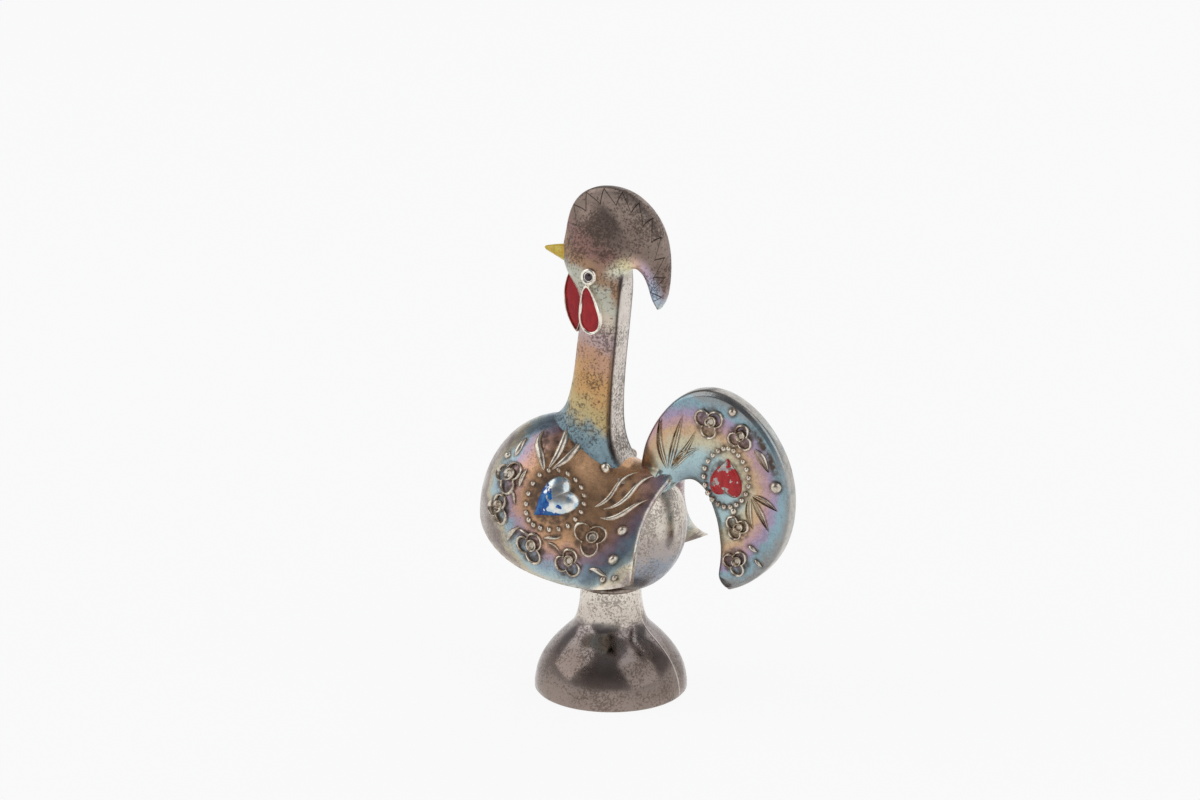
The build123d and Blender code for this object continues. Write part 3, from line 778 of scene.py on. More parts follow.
@dataclass
class Mantle:
    """The breast and wings: arches whose width, ridge and rim change along the bird, scooped out behind."""

    breast_x: float = -15.0
    breast_z: float = 55.0
    breast_reach: float = 27.0
    breast_rise: float = 30.0
    breast_half_width: float = 26.0
    rump_half_width: float = 14.8
    wing_flare: float = 12.5
    flare_power: float = 4.0
    wing_tip_x: float = 22.0
    back_z: float = 73.0
    saddle_x: float = 9.0
    rim_low: Place = (2.0, 40.0)
    rim_front_radius: float = 62.0
    rim_rear_radius: float = 40.0
    scoop_radius: float = 18.0
    scoop_front: float = 17.2
    scoop_z: float = 53.5
    scoop_rise: float = 26.0
    wall: float = 2.2
    hollow_depth: float = 14.0
    hollow_taper: float = 8.0
    spots: list[tuple[np.ndarray, float]] = field(default_factory=list)

    def along(self, x: np.ndarray) -> np.ndarray:
        """The share of the way from the breast's widest place to the wing tips."""
        return np.maximum(0.0, (x - self.breast_x) / (self.wing_tip_x - self.breast_x))

    def rim(self, x: np.ndarray) -> np.ndarray:
        """The height of the lower rim: two parabolas that meet at its lowest place."""
        away = x - self.rim_low[0]
        radius = np.where(away < 0, self.rim_front_radius, self.rim_rear_radius)
        return self.rim_low[1] + away**2 / (2 * radius)

    def ridge(self, x: np.ndarray) -> np.ndarray:
        """The height of the ridge: an ellipse over the breast, then a smooth step down to the saddle."""
        share = np.sqrt(np.maximum(0.0, 1 - np.minimum(0.0, (x - self.breast_x) / self.breast_reach) ** 2))
        top = self.breast_z + self.breast_rise
        fall = ease((x - self.breast_x) / (self.saddle_x - self.breast_x))
        breast = self.breast_z + self.breast_rise * share
        return np.where(x <= self.breast_x, breast, top + (self.back_z - top) * fall)

    def point(self, x: np.ndarray, angle: np.ndarray, inset: np.ndarray | float = 0.0) -> np.ndarray:
        """A point of the arch at x: half width times cosine with a flare at the foot, height by the sine.

        Args:
            x: The place along the bird.
            angle: From 0 at the left rim over the ridge to pi at the right rim.
            inset: How far the arch is drawn in.

        Returns:
            The points, with a last axis of 3.
        """
        x, angle = np.broadcast_arrays(x, angle)
        ahead = np.minimum(0.0, (x - self.breast_x) / self.breast_reach)
        share = np.sqrt(np.maximum(0.0, 1 - ahead**2))
        along = self.along(x)
        narrowing = (self.rump_half_width - self.breast_half_width) * along**2
        reach = (self.breast_half_width + narrowing) * share - inset
        rise = np.sin(angle)
        flare = self.wing_flare * along**2 * (1 - rise) ** self.flare_power
        y = -(reach * np.cos(angle) + np.sign(np.cos(angle)) * flare)
        low = self.rim(x)
        return np.stack([x, y, low + (self.ridge(x) - inset - low) * rise], -1)

    def half_width(self, x: np.ndarray, z: np.ndarray) -> np.ndarray:
        """The arch's half width at a place given in side view, without the flare at its foot."""
        low = self.rim(x)
        rise = np.clip((z - low) / np.maximum(self.ridge(x) - low, 0.1), 0.0, 1.0)
        reach = self.breast_half_width + (self.rump_half_width - self.breast_half_width) * self.along(x) ** 2
        return reach * np.sqrt(1 - rise**2)

    def rear(self, angle: np.ndarray) -> np.ndarray:
        """Where each line along the wing ends: on a round scoop in side view, taller above than below."""
        x = np.full_like(angle, self.scoop_front)
        for _ in range(12):
            height = self.point(x, angle)[..., 2] - self.scoop_z
            share = height / np.where(height > 0, self.scoop_rise, self.scoop_radius)
            depth = self.scoop_radius * np.sqrt(np.maximum(0.0, 1 - share**2))
            x = np.minimum(self.wing_tip_x, self.scoop_front + self.scoop_radius - depth)
        return x

    def angle_at(self, x: float, z: float) -> float:
        """The arch angle on the left side at a place given in side view."""
        low = float(self.rim(np.array(x)))
        return math.asin(min(1.0, max(0.0, (z - low) / (float(self.ridge(np.array(x))) - low))))

    def normal(self, x: np.ndarray, angle: np.ndarray) -> np.ndarray:
        """The outward unit normal: the cross product of two small steps on the surface."""
        step_x = self.point(x + 0.05, angle) - self.point(x - 0.05, angle)
        step_a = self.point(x, angle + 0.002) - self.point(x, angle - 0.002)
        across = np.cross(step_x, step_a)
        across /= np.linalg.norm(across, axis=-1, keepdims=True) + 1e-12
        outward = self.point(x, angle) - np.stack([x, np.zeros_like(x), np.full_like(x, self.breast_z)], -1)
        return across * np.sign(np.sum(across * outward, -1, keepdims=True))

    def recess(self, points: np.ndarray) -> np.ndarray:
        """How near each point is to raised ornament, from 1 against it to 0 a little way off."""
        near = np.zeros(points.shape[:-1])
        mirrored = points * np.array([1.0, -1.0, 1.0])
        for middle, radius in self.spots:
            here = np.linalg.norm(points - middle, axis=-1)
            there = np.linalg.norm(mirrored - middle, axis=-1)
            gap = np.minimum(here, there) - radius
            near = np.maximum(near, np.exp(-((np.maximum(gap, 0.0) / 0.7) ** 2)))
        return near

    def build(self, finish: Material) -> None:
        """Builds the outer face, the wall at the rear, the hollow behind the wings and the underside."""
        angle = np.linspace(0.0, np.pi, 281)[None, :]
        swing = np.linspace(np.pi / 2, 0.0, 70)[:-1, None]
        front = self.breast_x - self.breast_reach * np.sin(swing) + 0 * angle
        rear = self.rear(angle)
        back = self.breast_x + (rear - self.breast_x) * np.linspace(0.0, 1.0, 90)[:, None]
        outer = self.point(np.concatenate([front, back]), angle)
        share = np.linspace(0.0, 1.0, 16)[:, None]
        inner = self.point(rear - self.hollow_depth * share, angle, self.wall + self.hollow_taper * share)
        middle = np.broadcast_to(inner[-1:].mean(1, keepdims=True), inner[-1:].shape)
        edge = np.stack([outer[-1], (outer[-1] + inner[0]) / 2 + np.array([0.5, 0.0, 0.0]), inner[0]])
        skin = Skin()
        low = np.minimum(angle, np.pi - angle) * self.breast_half_width
        worn = np.maximum(np.exp(-(((rear - outer[..., 0]) / 0.45) ** 2)), 0.6 * np.exp(-((low / 0.7) ** 2)))
        skin.add(outer, inside=(-8.0, 0.0, 58.0), recess=self.recess(outer), worn=worn)
        plain = np.zeros(edge.shape[:2])
        skin.add(edge, inside=(0.0, 0.0, 58.0), recess=plain, worn=plain + 0.8)
        hollow = np.concatenate([inner, middle])[::-1]
        # Painted shade: the hollow behind the wings is darkened evenly through the recess value.
        shaded_hollow = np.zeros(hollow.shape[:2])
        skin.add(hollow, inside=(-8.0, 0.0, 120.0), recess=shaded_hollow + 0.35, worn=shaded_hollow)
        rim_left = outer[:, 0]
        rim_right = outer[:, -1]
        across = np.linspace(0.0, 1.0, 25)[None, :, None]
        under = rim_left[:, None] * (1 - across) + rim_right[:, None] * across
        solid = rim_left[:, 0] < self.wing_tip_x - self.hollow_depth
        # Painted shade: the underside is darkened evenly through the recess value.
        flat = np.zeros(under[solid].shape[:2])
        skin.add(under[solid], inside=(-8.0, 0.0, 90.0), recess=flat + 0.3, worn=flat)
        skin.build("breast_and_wings", finish, "toned_silver", ["left_wing_shell", "right_wing_shell"])


@dataclass
class Tail:
    """The sickle tail: a strip between an outer and an inner edge, pillowed across, thick at its root."""

    mantle: Mantle
    edges: tuple[tuple[float, float, float, float], ...] = (
        (9.8, 69.0, 19.4, 65.2),
        (11.0, 74.6, 21.2, 67.4),
        (12.8, 80.6, 23.2, 69.0),
        (18.8, 91.0, 25.8, 70.3),
        (27.0, 97.6, 28.6, 70.6),
        (36.0, 98.8, 31.2, 69.2),
        (45.0, 95.2, 33.2, 66.8),
        (53.0, 87.5, 35.0, 62.8),
        (58.3, 77.5, 36.4, 58.5),
        (60.0, 66.5, 37.2, 54.0),
        (58.0, 55.0, 37.6, 50.0),
        (52.5, 46.0, 37.4, 45.5),
        (45.0, 40.0, 37.3, 41.2),
        (39.6, 37.4, 38.4, 38.4),
    )
    half_thickness: float = 3.7
    root_round: float = 4.0
    root_edge: float = 6.0
    root_sink: float = 2.6
    root_back: float = 18.0
    rim_height: float = 0.3
    rim_inset: float = 1.7
    crispness: float = 5.0
    spots: list[tuple[np.ndarray, float]] = field(default_factory=list)
    steps: int = 260
    columns: int = 60

    def half(self, x: np.ndarray, z: np.ndarray, far_out: np.ndarray | float = 10.0) -> np.ndarray:
        """Half of the thickness: even over the plate, and rounded into the back below it.

        The larger of the plate's own and the back's half width, the corner between them rounded. Above the
        ridge and behind the back it counts as less than nothing, and the rounding dies out at the front edge.
        """
        over = z - self.mantle.ridge(x)
        back = np.where(over > 0, -1.2 * over, self.mantle.half_width(x, z))
        back = back - 2.2 * np.maximum(0.0, x - self.root_back)
        rounding = self.root_round * ease(np.asarray(far_out) / self.root_edge) + 0.02
        return soft_max(self.half_thickness + 0 * x, back, rounding)

    def recess(self, x: np.ndarray, z: np.ndarray) -> np.ndarray:
        """How near each point is to raised ornament in side view."""
        near = np.zeros(x.shape)
        for middle, radius in self.spots:
            gap = np.hypot(x - middle[0], z - middle[2]) - radius
            near = np.maximum(near, np.exp(-((np.maximum(gap, 0.0) / 0.7) ** 2)))
        return near

    def build(self, finish: Material) -> None:
        """Builds the plate: at each step the section is a flat superellipse between the two edges."""
        edge = smooth_curve(self.edges, self.steps)
        across = edge_spaced(self.columns)
        share = np.concatenate([across, across[-2:0:-1]])[None, :]
        sign = np.concatenate([-np.ones(self.columns), np.ones(self.columns - 2)])[None, :]
        x = edge[:, :1] * (1 - share) + edge[:, 2:3] * share
        z = edge[:, 1:2] * (1 - share) + edge[:, 3:4] * share
        crown = (1 - np.abs(2 * share - 1) ** self.crispness) ** (1 / self.crispness)
        along = np.linspace(0.0, 1.0, self.steps)[:, None]
        fade = np.sqrt(np.clip((1 - along) * 14, 0.0, 1.0))
        width = np.hypot(edge[:, :1] - edge[:, 2:3], edge[:, 1:2] - edge[:, 3:4])
        far_out, far_in = share * width, (1 - share) * width
        sunk = self.root_sink * ease(1 - along * 9)
        rim = self.rim_height * np.exp(-(((far_out - self.rim_inset) / 0.45) ** 2)) * ease((x - 26) / 8)
        plate = np.stack([x, sign * (crown * (self.half(x, z, far_out) - sunk) + rim) * fade, z], -1)
        # Painted shade: a dark band inside the outer rim at the top and back, darkening at the root's lower
        # front and along the inner edge, joined with the tarnish beside the ornament.
        shade = np.exp(-(((far_out - 3.2) / 1.4) ** 2)) * ease((z - 72) / 7) * ease((x - 45) / 6)
        shade = np.maximum(shade, 0.55 * ease((82 - z) / 8) * ease((20 - x) / 6))
        inner = np.exp(-((far_in / 1.6) ** 2)) * ease((x - 23) / 6)
        patina_and_shade = np.maximum(np.maximum(self.recess(x, z), 1.5 * shade), 0.7 * inner)
        skin = Skin()
        # The outer edge is lightened as rubbed silver and as a painted highlight on the rounded rim.
        skin.add(plate, wrap=True, recess=patina_and_shade, worn=0.45 * np.exp(-((far_out / 0.35) ** 2)))
        skin.build("sickle_tail", finish, "toned_silver", ["tail"])


@dataclass
class Crest:
    """Neck, head and comb in one sweep, like a cane: a strip from the throat over the comb to its hook."""

    edges: tuple[tuple[float, float, float, float, float, float, float], ...] = (
        (-27.0, 79.4, 10.0, 69.0, 9.0, 2.0, 2.6),
        (-20.4, 83.4, 6.0, 73.0, 9.5, 2.0, 3.0),
        (-15.8, 87.2, 3.0, 79.0, 8.9, 2.0, 3.4),
        (-13.2, 92.6, 2.2, 88.6, 7.9, 2.0, 3.6),
        (-11.3, 102.0, 3.0, 102.0, 7.5, 2.0, 3.6),
        (-10.0, 112.0, 4.0, 112.0, 7.5, 2.0, 3.6),
        (-9.2, 119.0, 4.7, 119.5, 7.7, 2.0, 3.6),
        (-10.6, 125.4, 5.3, 125.6, 8.0, 2.0, 3.6),
        (-14.2, 130.2, 5.6, 129.2, 8.3, 2.0, 3.8),
        (-16.0, 135.4, 5.8, 131.2, 8.3, 2.2, 4.0),
        (-15.2, 140.6, 6.5, 132.0, 7.6, 2.4, 4.0),
        (-14.0, 146.0, 7.2, 132.4, 6.4, 2.8, 4.0),
        (-11.6, 151.4, 7.8, 132.6, 5.0, 3.2, 4.0),
        (-6.6, 155.4, 8.4, 132.7, 3.6, 3.6, 4.0),
        (0.2, 156.6, 9.0, 132.6, 3.2, 3.6, 4.0),
        (7.0, 155.2, 9.6, 132.3, 3.2, 3.6, 4.0),
        (13.0, 151.0, 10.4, 131.7, 3.2, 3.6, 4.0),
        (17.2, 144.8, 11.2, 130.8, 3.2, 3.4, 3.6),
        (19.0, 137.0, 12.2, 129.0, 3.2, 3.2, 3.2),
        (18.9, 129.0, 13.2, 126.4, 3.0, 3.0, 3.0),
        (17.6, 123.4, 14.4, 123.4, 2.6, 2.6, 2.6),
        (16.2, 121.2, 15.6, 121.4, 1.6, 2.2, 2.2),
    )
    comb_half: float = 3.2
    groove: float = 0.6
    cheek: Place = (-3.8, 129.0)
    cheek_half: float = 8.3
    cheek_reach: Place = (13.5, 23.0)
    neck_rows: int = 6
    comb_rows: int = 11
    steps: int = 420
    columns: int = 56

    def build(self, finish: Material) -> None:
        """Builds the sweep.

        At each step a line runs from the outer to the inner edge. The half thickness on it is the neck's own,
        then passes to the larger of the comb's thickness and the bulge of the cheeks, an ellipsoid.
        Superellipse exponents round the two ends, nearly square at the flat back of the neck.
        """
        row = smooth_curve(self.edges, self.steps)
        place = np.interp(np.arange(self.steps), *self._row_places())[:, None]
        across = edge_spaced(self.columns)
        share = np.concatenate([across, across[-2:0:-1]])[None, :]
        sign = np.concatenate([-np.ones(self.columns), np.ones(self.columns - 2)])[None, :]
        x = row[:, :1] * (1 - share) + row[:, 2:3] * share
        z = row[:, 1:2] * (1 - share) + row[:, 3:4] * share
        ahead = (x - self.cheek[0]) / self.cheek_reach[0]
        above = (z - self.cheek[1]) / self.cheek_reach[1]
        swell = 1 - ahead**2 - above**2
        bulge = self.cheek_half * np.sqrt(np.maximum(0.0, swell))
        thin = np.minimum(self.comb_half, row[:, 4:5])
        head = soft_max(thin + 0 * x, bulge, 1.4) - 0.3
        neck_share = 1 - ease((place - self.neck_rows) / 3.0)
        half = row[:, 4:5] * neck_share + head * (1 - neck_share)
        power = np.where(share < 0.5, row[:, 5:6], row[:, 6:7])
        crown = np.maximum(0.0, 1 - np.abs(2 * share - 1) ** power) ** (1 / power)
        sweep = np.stack([x, sign * crown * half, z], -1)
        width = np.hypot(row[:, :1] - row[:, 2:3], row[:, 1:2] - row[:, 3:4])
        run = np.concatenate([[0.0], np.cumsum(np.hypot(np.diff(row[:, 0]), np.diff(row[:, 1])))])[:, None]
        ones = np.ones_like(x)
        past = ease((place - self.neck_rows - 1.5) / 2)
        back = (share > 0.5) * (1 - past)
        skin = Skin()
        skin.add(
            sweep,
            wrap=True,
            depth=share * width,
            run=run * ones,
            rim=ease(place - self.comb_rows + 0.5) * ones,
            panel=ease((self.groove - crown) / 0.14) * back,
            under=np.exp(-(((1 - share) * width / 4.2) ** 4)) * past,
            along=np.clip((place - self.neck_rows - 2) / 13, 0, 1) * ones,
            crease=np.exp(-(((crown - self.groove) / 0.085) ** 2)) * back * ease(place - 0.6),
        )
        skin.build("neck_head_and_comb", finish, "toned_silver", ["neck", "head", "comb"])

    def _row_places(self) -> tuple[np.ndarray, np.ndarray]:
        """The sample number at which the spline passes each row, and the row's number."""
        rows = np.asarray(self.edges)
        length = np.concatenate([[0.0], np.cumsum(np.linalg.norm(np.diff(rows, axis=0), axis=1))])
        return length / length[-1] * (self.steps - 1), np.arange(len(rows))


@dataclass
class Face:
    """Beak, eyes, ear cups and wattles."""

    beak_root: Place = (-13.0, 134.6)
    beak_length: float = 9.6
    beak_radius: float = 3.3
    beak_rise: float = 11.0
    eye: Place = (-3.2, 130.6)
    eye_radius: float = 2.6
    eye_y: float = 8.0
    ear: Place = (-2.8, 120.8)
    ear_half_length: float = 7.7
    ear_half_width: float = 3.4
    ear_taper: float = 0.42
    ear_turn: float = 97.0
    ear_y: float = 7.3
    ear_height: float = 2.3
    wattle: Place = (-11.2, 121.2)
    wattle_half_length: float = 9.4
    wattle_half_width: float = 3.0
    wattle_turn: float = 97.0
    wattle_y: float = 0.4
    wattle_height: float = 3.0
    rim: float = 1.1
    wattle_rim: float = 0.7

    def egg(self, angle: np.ndarray) -> np.ndarray:
        """The polar radius of the ear lobe: an ellipse narrowed towards its top, read at even angles."""
        t = round_angles(720)
        up = self.ear_half_length * np.sin(t)
        side = self.ear_half_width * np.cos(t) * (1 - self.ear_taper * np.sin(t))
        turn = math.radians(self.ear_turn - 90)
        return np.interp(angle, np.arctan2(up, side) + turn, np.hypot(up, side), period=2 * np.pi)

    @staticmethod
    def lens(angle: np.ndarray, half_length: float, half_width: float, turn: float) -> np.ndarray:
        """The polar radius of a pointed leaf: where a ray from the middle leaves the lens of two circles."""
        radius = (half_length**2 + half_width**2) / (2 * half_width)
        shift = radius - half_width
        across = np.abs(np.sin(angle - math.radians(turn)))
        return np.sqrt(shift**2 * across**2 + radius**2 - shift**2) - shift * across

    @staticmethod
    def shell(
        middle: Place, outline: np.ndarray, angle: np.ndarray, rows: Sequence[Place], y: float, side: Side
    ) -> np.ndarray:
        """Rings about a middle: each row draws the outline in by an inset and stands out by a height."""
        inset = np.array([r[0] for r in rows])[:, None]
        out = np.array([r[1] for r in rows])[:, None]
        radius = np.maximum(outline[None, :] - inset, 0.0)
        x = middle[0] + radius * np.cos(angle)
        z = middle[1] + radius * np.sin(angle)
        return side.turn(np.stack([x, -(y + out) + 0 * radius, z], -1))

    def cup(
        self,
        side: Side,
        word: str,
        middle: Place,
        outline: np.ndarray,
        y: float,
        height: float,
        w: float,
        finishes: tuple[Material, Material],
    ) -> None:
        """Builds a rimmed cup and the enamel that fills it, slightly crowned below the rim.

        Args:
            side: Which side.
            word: What the cup is called, with the two nodes named after it.
            middle: Its middle in side view.
            outline: Its polar radius at even angles.
            y: How far out its back stands.
            height: How tall the rim is.
            w: How wide the rim is.
            finishes: The rim's material and the enamel.
        """
        angle = round_angles(len(outline))
        far = 40.0
        rows = (
            (far, 0.0),
            (0.0, 0.0),
            (0.0, height - 0.4),
            (0.25 * w, height),
            (0.7 * w, height),
            (w, height - 0.4),
            (w, height - 1.0),
        )
        inside = side.turn(np.array([middle[0], -(y + 0.3), middle[1]]))
        cup = Skin()
        cup.add(self.shell(middle, outline, angle, rows, y, side), inside=inside, wrap=True, hollow=NO_HOLLOW)
        node = f"{side.word}_{word}"
        cup.build(f"{node}_rim", finishes[0], "bright_silver", [node])
        fill = (
            (w - 0.05, height - 0.9),
            (w - 0.05, height - 0.62),
            (w + 0.6, height - 0.42),
            (w + 1.6, height - 0.3),
            (far, height - 0.3),
        )
        enamel = Skin()
        enamel.add(self.shell(middle, outline, angle, fill, y, side), inside=inside, wrap=True)
        filled = f"{node.removesuffix('_cup')}_enamel"
        enamel.build(filled, finishes[1], "red_enamel", [filled])

    def build_beak(self, finish: Material) -> None:
        """Builds the beak: rings that shrink to the tip along a bending line, pinched at the mouth."""
        share = np.linspace(-0.25, 1.0, 40)[:, None]
        angle = round_angles(48)[None, :]
        rise = math.radians(self.beak_rise)
        blunt = np.sqrt(np.clip((1.001 - share) * 14, 0.0, 1.0))
        taper = self.beak_radius * (1 - np.clip(share, 0, 1) ** 1.15 * 0.86) * blunt
        mouth = 1 - 0.12 * np.exp(-((np.sin(angle) + 0.15) / 0.14) ** 2)
        side = taper * np.cos(angle) * mouth * 0.9
        up = taper * np.sin(angle)
        far = share * self.beak_length
        x = self.beak_root[0] - far * math.cos(rise) - up * math.sin(rise)
        z = self.beak_root[1] + far * math.sin(rise) + up * math.cos(rise) - 0.4 * np.clip(share, 0, 1) ** 2.2
        skin = Skin()
        skin.add(np.stack([x, side, z], -1), wrap=True)
        skin.build("enamelled_beak", finish, "yellow_enamel", ["beak"])

    def build_side(self, side: Side, finishes: dict[str, Material]) -> None:
        """Builds the eye, the ear cup and the wattle of one side.

        Args:
            side: Which side.
            finishes: The materials by name.
        """
        angle = round_angles(96)
        ball = np.full_like(angle, self.eye_radius)
        r = self.eye_radius
        rows = (
            (0.0, -1.2),
            (0.0, 0.5),
            (0.12, 0.95),
            (0.4, 1.25),
            (0.75, 1.3),
            (1.0, 1.1),
            (1.15, 0.75),
            (r, 0.7),
        )
        behind = side.turn(np.array([self.eye[0], -(self.eye_y - 1), self.eye[1]]))
        boss = Skin()
        ringed = self.shell(self.eye, ball, angle, rows, self.eye_y, side)
        boss.add(ringed, inside=behind, wrap=True, hollow=NO_HOLLOW)
        boss.build(f"{side.word}_eye_boss", finishes["rim"], "bright_silver", [f"{side.word}_eye"])
        dot = ((r - 1.3, 0.6), (r - 1.2, 0.95), (r - 0.95, 1.25), (r - 0.5, 1.42), (r, 1.48))
        pupil = Skin()
        domed = self.shell(self.eye, ball, angle, dot, self.eye_y, side)
        pupil.add(domed, inside=behind, wrap=True, hollow=NO_HOLLOW)
        pupil.build(f"{side.word}_eye_pupil", finishes["dark"], "dark_silver", [f"{side.word}_pupil"])
        pair = (finishes["rim"], finishes["red"])
        lobe = self.egg(angle)
        self.cup(side, "ear_cup", self.ear, lobe, self.ear_y, self.ear_height, self.rim, pair)
        leaf = self.lens(angle, self.wattle_half_length, self.wattle_half_width, self.wattle_turn)
        pair = (finishes["metal"], finishes["red"])
        y, height = self.wattle_y, self.wattle_height
        self.cup(side, "wattle", self.wattle, leaf, y, height, self.wattle_rim, pair)


class WingChart:
    """Lays flat ornament on the left wing: a runs backwards, b up the arch, h outwards, in millimetres."""

    def __init__(self, mantle: Mantle, at: Place) -> None:
        """Measures the surface at a place given in side view."""
        self.mantle = mantle
        self.x = at[0]
        self.angle = mantle.angle_at(*at)
        x, angle = np.array(self.x), np.array(self.angle)
        self.pace_x = np.linalg.norm(mantle.point(x + 0.1, angle) - mantle.point(x - 0.1, angle)) / 0.2
        self.pace_a = np.linalg.norm(mantle.point(x, angle + 0.004) - mantle.point(x, angle - 0.004)) / 0.008

    def flat(self, at: Place) -> Place:
        """The flat place of a point given in side view."""
        return (at[0] - self.x) * self.pace_x, (self.mantle.angle_at(*at) - self.angle) * self.pace_a

    def lay(self, patch: Patch) -> np.ndarray:
        """The patch's points on the wing."""
        a, b, h = patch
        x = self.x + a / self.pace_x
        angle = self.angle + b / self.pace_a
        return self.mantle.point(x, angle) + self.mantle.normal(x, angle) * h[..., None]


class TailChart:
    """Lays flat ornament on the left face of the tail: a runs backwards, b up, h outwards."""

    def __init__(self, tail: Tail, at: Place) -> None:
        """Takes a place given in side view."""
        self.tail = tail
        self.at = at

    def flat(self, at: Place) -> Place:
        """The flat place of a point given in side view."""
        return at[0] - self.at[0], at[1] - self.at[1]

    def lay(self, patch: Patch) -> np.ndarray:
        """The patch's points on the tail."""
        a, b, h = patch
        x = self.at[0] + a
        z = self.at[1] + b
        return np.stack([x, -(self.tail.half(x, z) + h), z], -1)


Chart = WingChart | TailChart


@dataclass(frozen=True)
class Ornament:
    """The raised forms, each a patch of flat places and heights."""

    relief: float = 0.9
    sink: float = 0.35
    bead: float = 0.95
    stud: float = 1.7
    petals: int = 3
    petal: float = 2.5
    petal_reach: float = 2.3
    cup: float = 1.9
    cup_shift: float = 0.7
    leaf_columns: int = 17

    def dome(self, radius: float, height: float) -> Patch:
        """A round dome: the radius follows a sine and the height a cosine."""
        share = np.linspace(0.0, np.pi / 2, 8)[:, None]
        angle = round_angles(18)[None, :]
        h = (height + self.sink) * np.cos(share) - self.sink + 0 * angle
        return radius * np.sin(share) * np.cos(angle), radius * np.sin(share) * np.sin(angle), h

    def ring(self, radius: Place, middle: Place, turn: float, height: float, hollow: float) -> Patch:
        """An oval with a raised rim: the height climbs from a hollow to the rim, then drops away."""
        share = np.array([0.0, 0.25, 0.42, 0.55, 0.66, 0.78, 0.9, 0.97, 1.0])[:, None]
        level = np.array([hollow, hollow, hollow, 0.45, 0.85, 1.0, 0.85, 0.4, -self.sink / height])[:, None]
        angle = round_angles(30)[None, :]
        a, b = radius[0] * share * np.cos(angle), radius[1] * share * np.sin(angle)
        c, s = math.cos(turn), math.sin(turn)
        return middle[0] + a * c - b * s, middle[1] + a * s + b * c, height * level + 0 * angle

    def trefoil(self, size: float, turn: float) -> Patch:
        """A flower's raised rim: where a ray from the middle leaves the farthest petal circle, drawn in."""
        angle = round_angles(90)[None, :]
        step = 2 * np.pi / self.petals
        off = (angle - turn + step / 2) % step - step / 2
        chord = np.sqrt(self.petal**2 - (self.petal_reach * np.sin(off)) ** 2)
        reach = self.petal_reach * np.cos(off) + chord
        inset = np.array([1.35, 1.15, 0.95, 0.65, 0.35, 0.12, 0.0])[:, None]
        low = -self.sink / self.relief
        level = np.array([low, 0.35, 0.8, 1.0, 0.85, 0.4, low])[:, None]
        radius = size * reach - inset
        return radius * np.cos(angle), radius * np.sin(angle), 1.25 * self.relief * level + 0 * angle

    def leaf(self, tip: Place, width: float, bow: float, curl: float, style: LeafStyle) -> Patch:
        """A leaf from 0 to its tip: a sine outline about a bowed line, crowned or outlined and veined."""
        share = edge_spaced(30)[:, None]
        across = np.linspace(-1.0, 1.0, self.leaf_columns)[None, :]
        half = width * np.sin(np.pi * share**0.8) ** 0.9
        length = math.hypot(*tip)
        c, s = tip[0] / length, tip[1] / length
        u = share * length + 0 * across
        v = half * across + bow * np.sin(np.pi * share) + curl * np.sin(2 * np.pi * share)
        ends = np.sin(np.pi * share) ** 0.5
        if style is LeafStyle.BLADE:
            level = (1 - across**2) ** 0.6
        else:
            level = np.exp(-(((np.abs(across) - 0.68) / 0.24) ** 2)) + 0.7 * np.exp(-((across / 0.18) ** 2))
            level = level * (1 - across**8)
        h = (self.relief + self.sink) * level * ends - self.sink
        return u * c - v * s, u * s + v * c, h

    def heart(self, length: float, width: float, turn: float) -> Patch:
        """A pillowed heart: an outline of two lobes and a tip, drawn in and raised in a dome."""
        angle = round_angles(72)[None, :]
        share = np.sin(np.linspace(0.0, np.pi / 2, 14))[:, None]
        a = width / 2 * np.sin(angle) * np.abs(np.sin(angle)) ** 1.2
        waves = ((13.0, 1), (-3.4, 2), (-1.2, 3), (-0.4, 4))
        b = length / 26 * (sum(size * np.cos(k * angle) for size, k in waves) + 2.6)
        c, s = math.cos(turn), math.sin(turn)
        h = 2.2 * np.sqrt(1 - share**2 + 1e-9) - self.sink + 0 * angle
        return (a * c - b * s) * share, (a * s + b * c) * share, h


@dataclass(frozen=True)
class Layout:
    """Where the ornament of one face sits, in side view."""

    name: str
    heart: Place
    heart_turn: float
    heart_size: Place
    ring: Place
    ring_count: int
    flowers: tuple[tuple[Place, float, float], ...]
    leaves: tuple[tuple[Place, Place, float, float, float, LeafStyle], ...]
    studs: tuple[tuple[Place, float], ...]


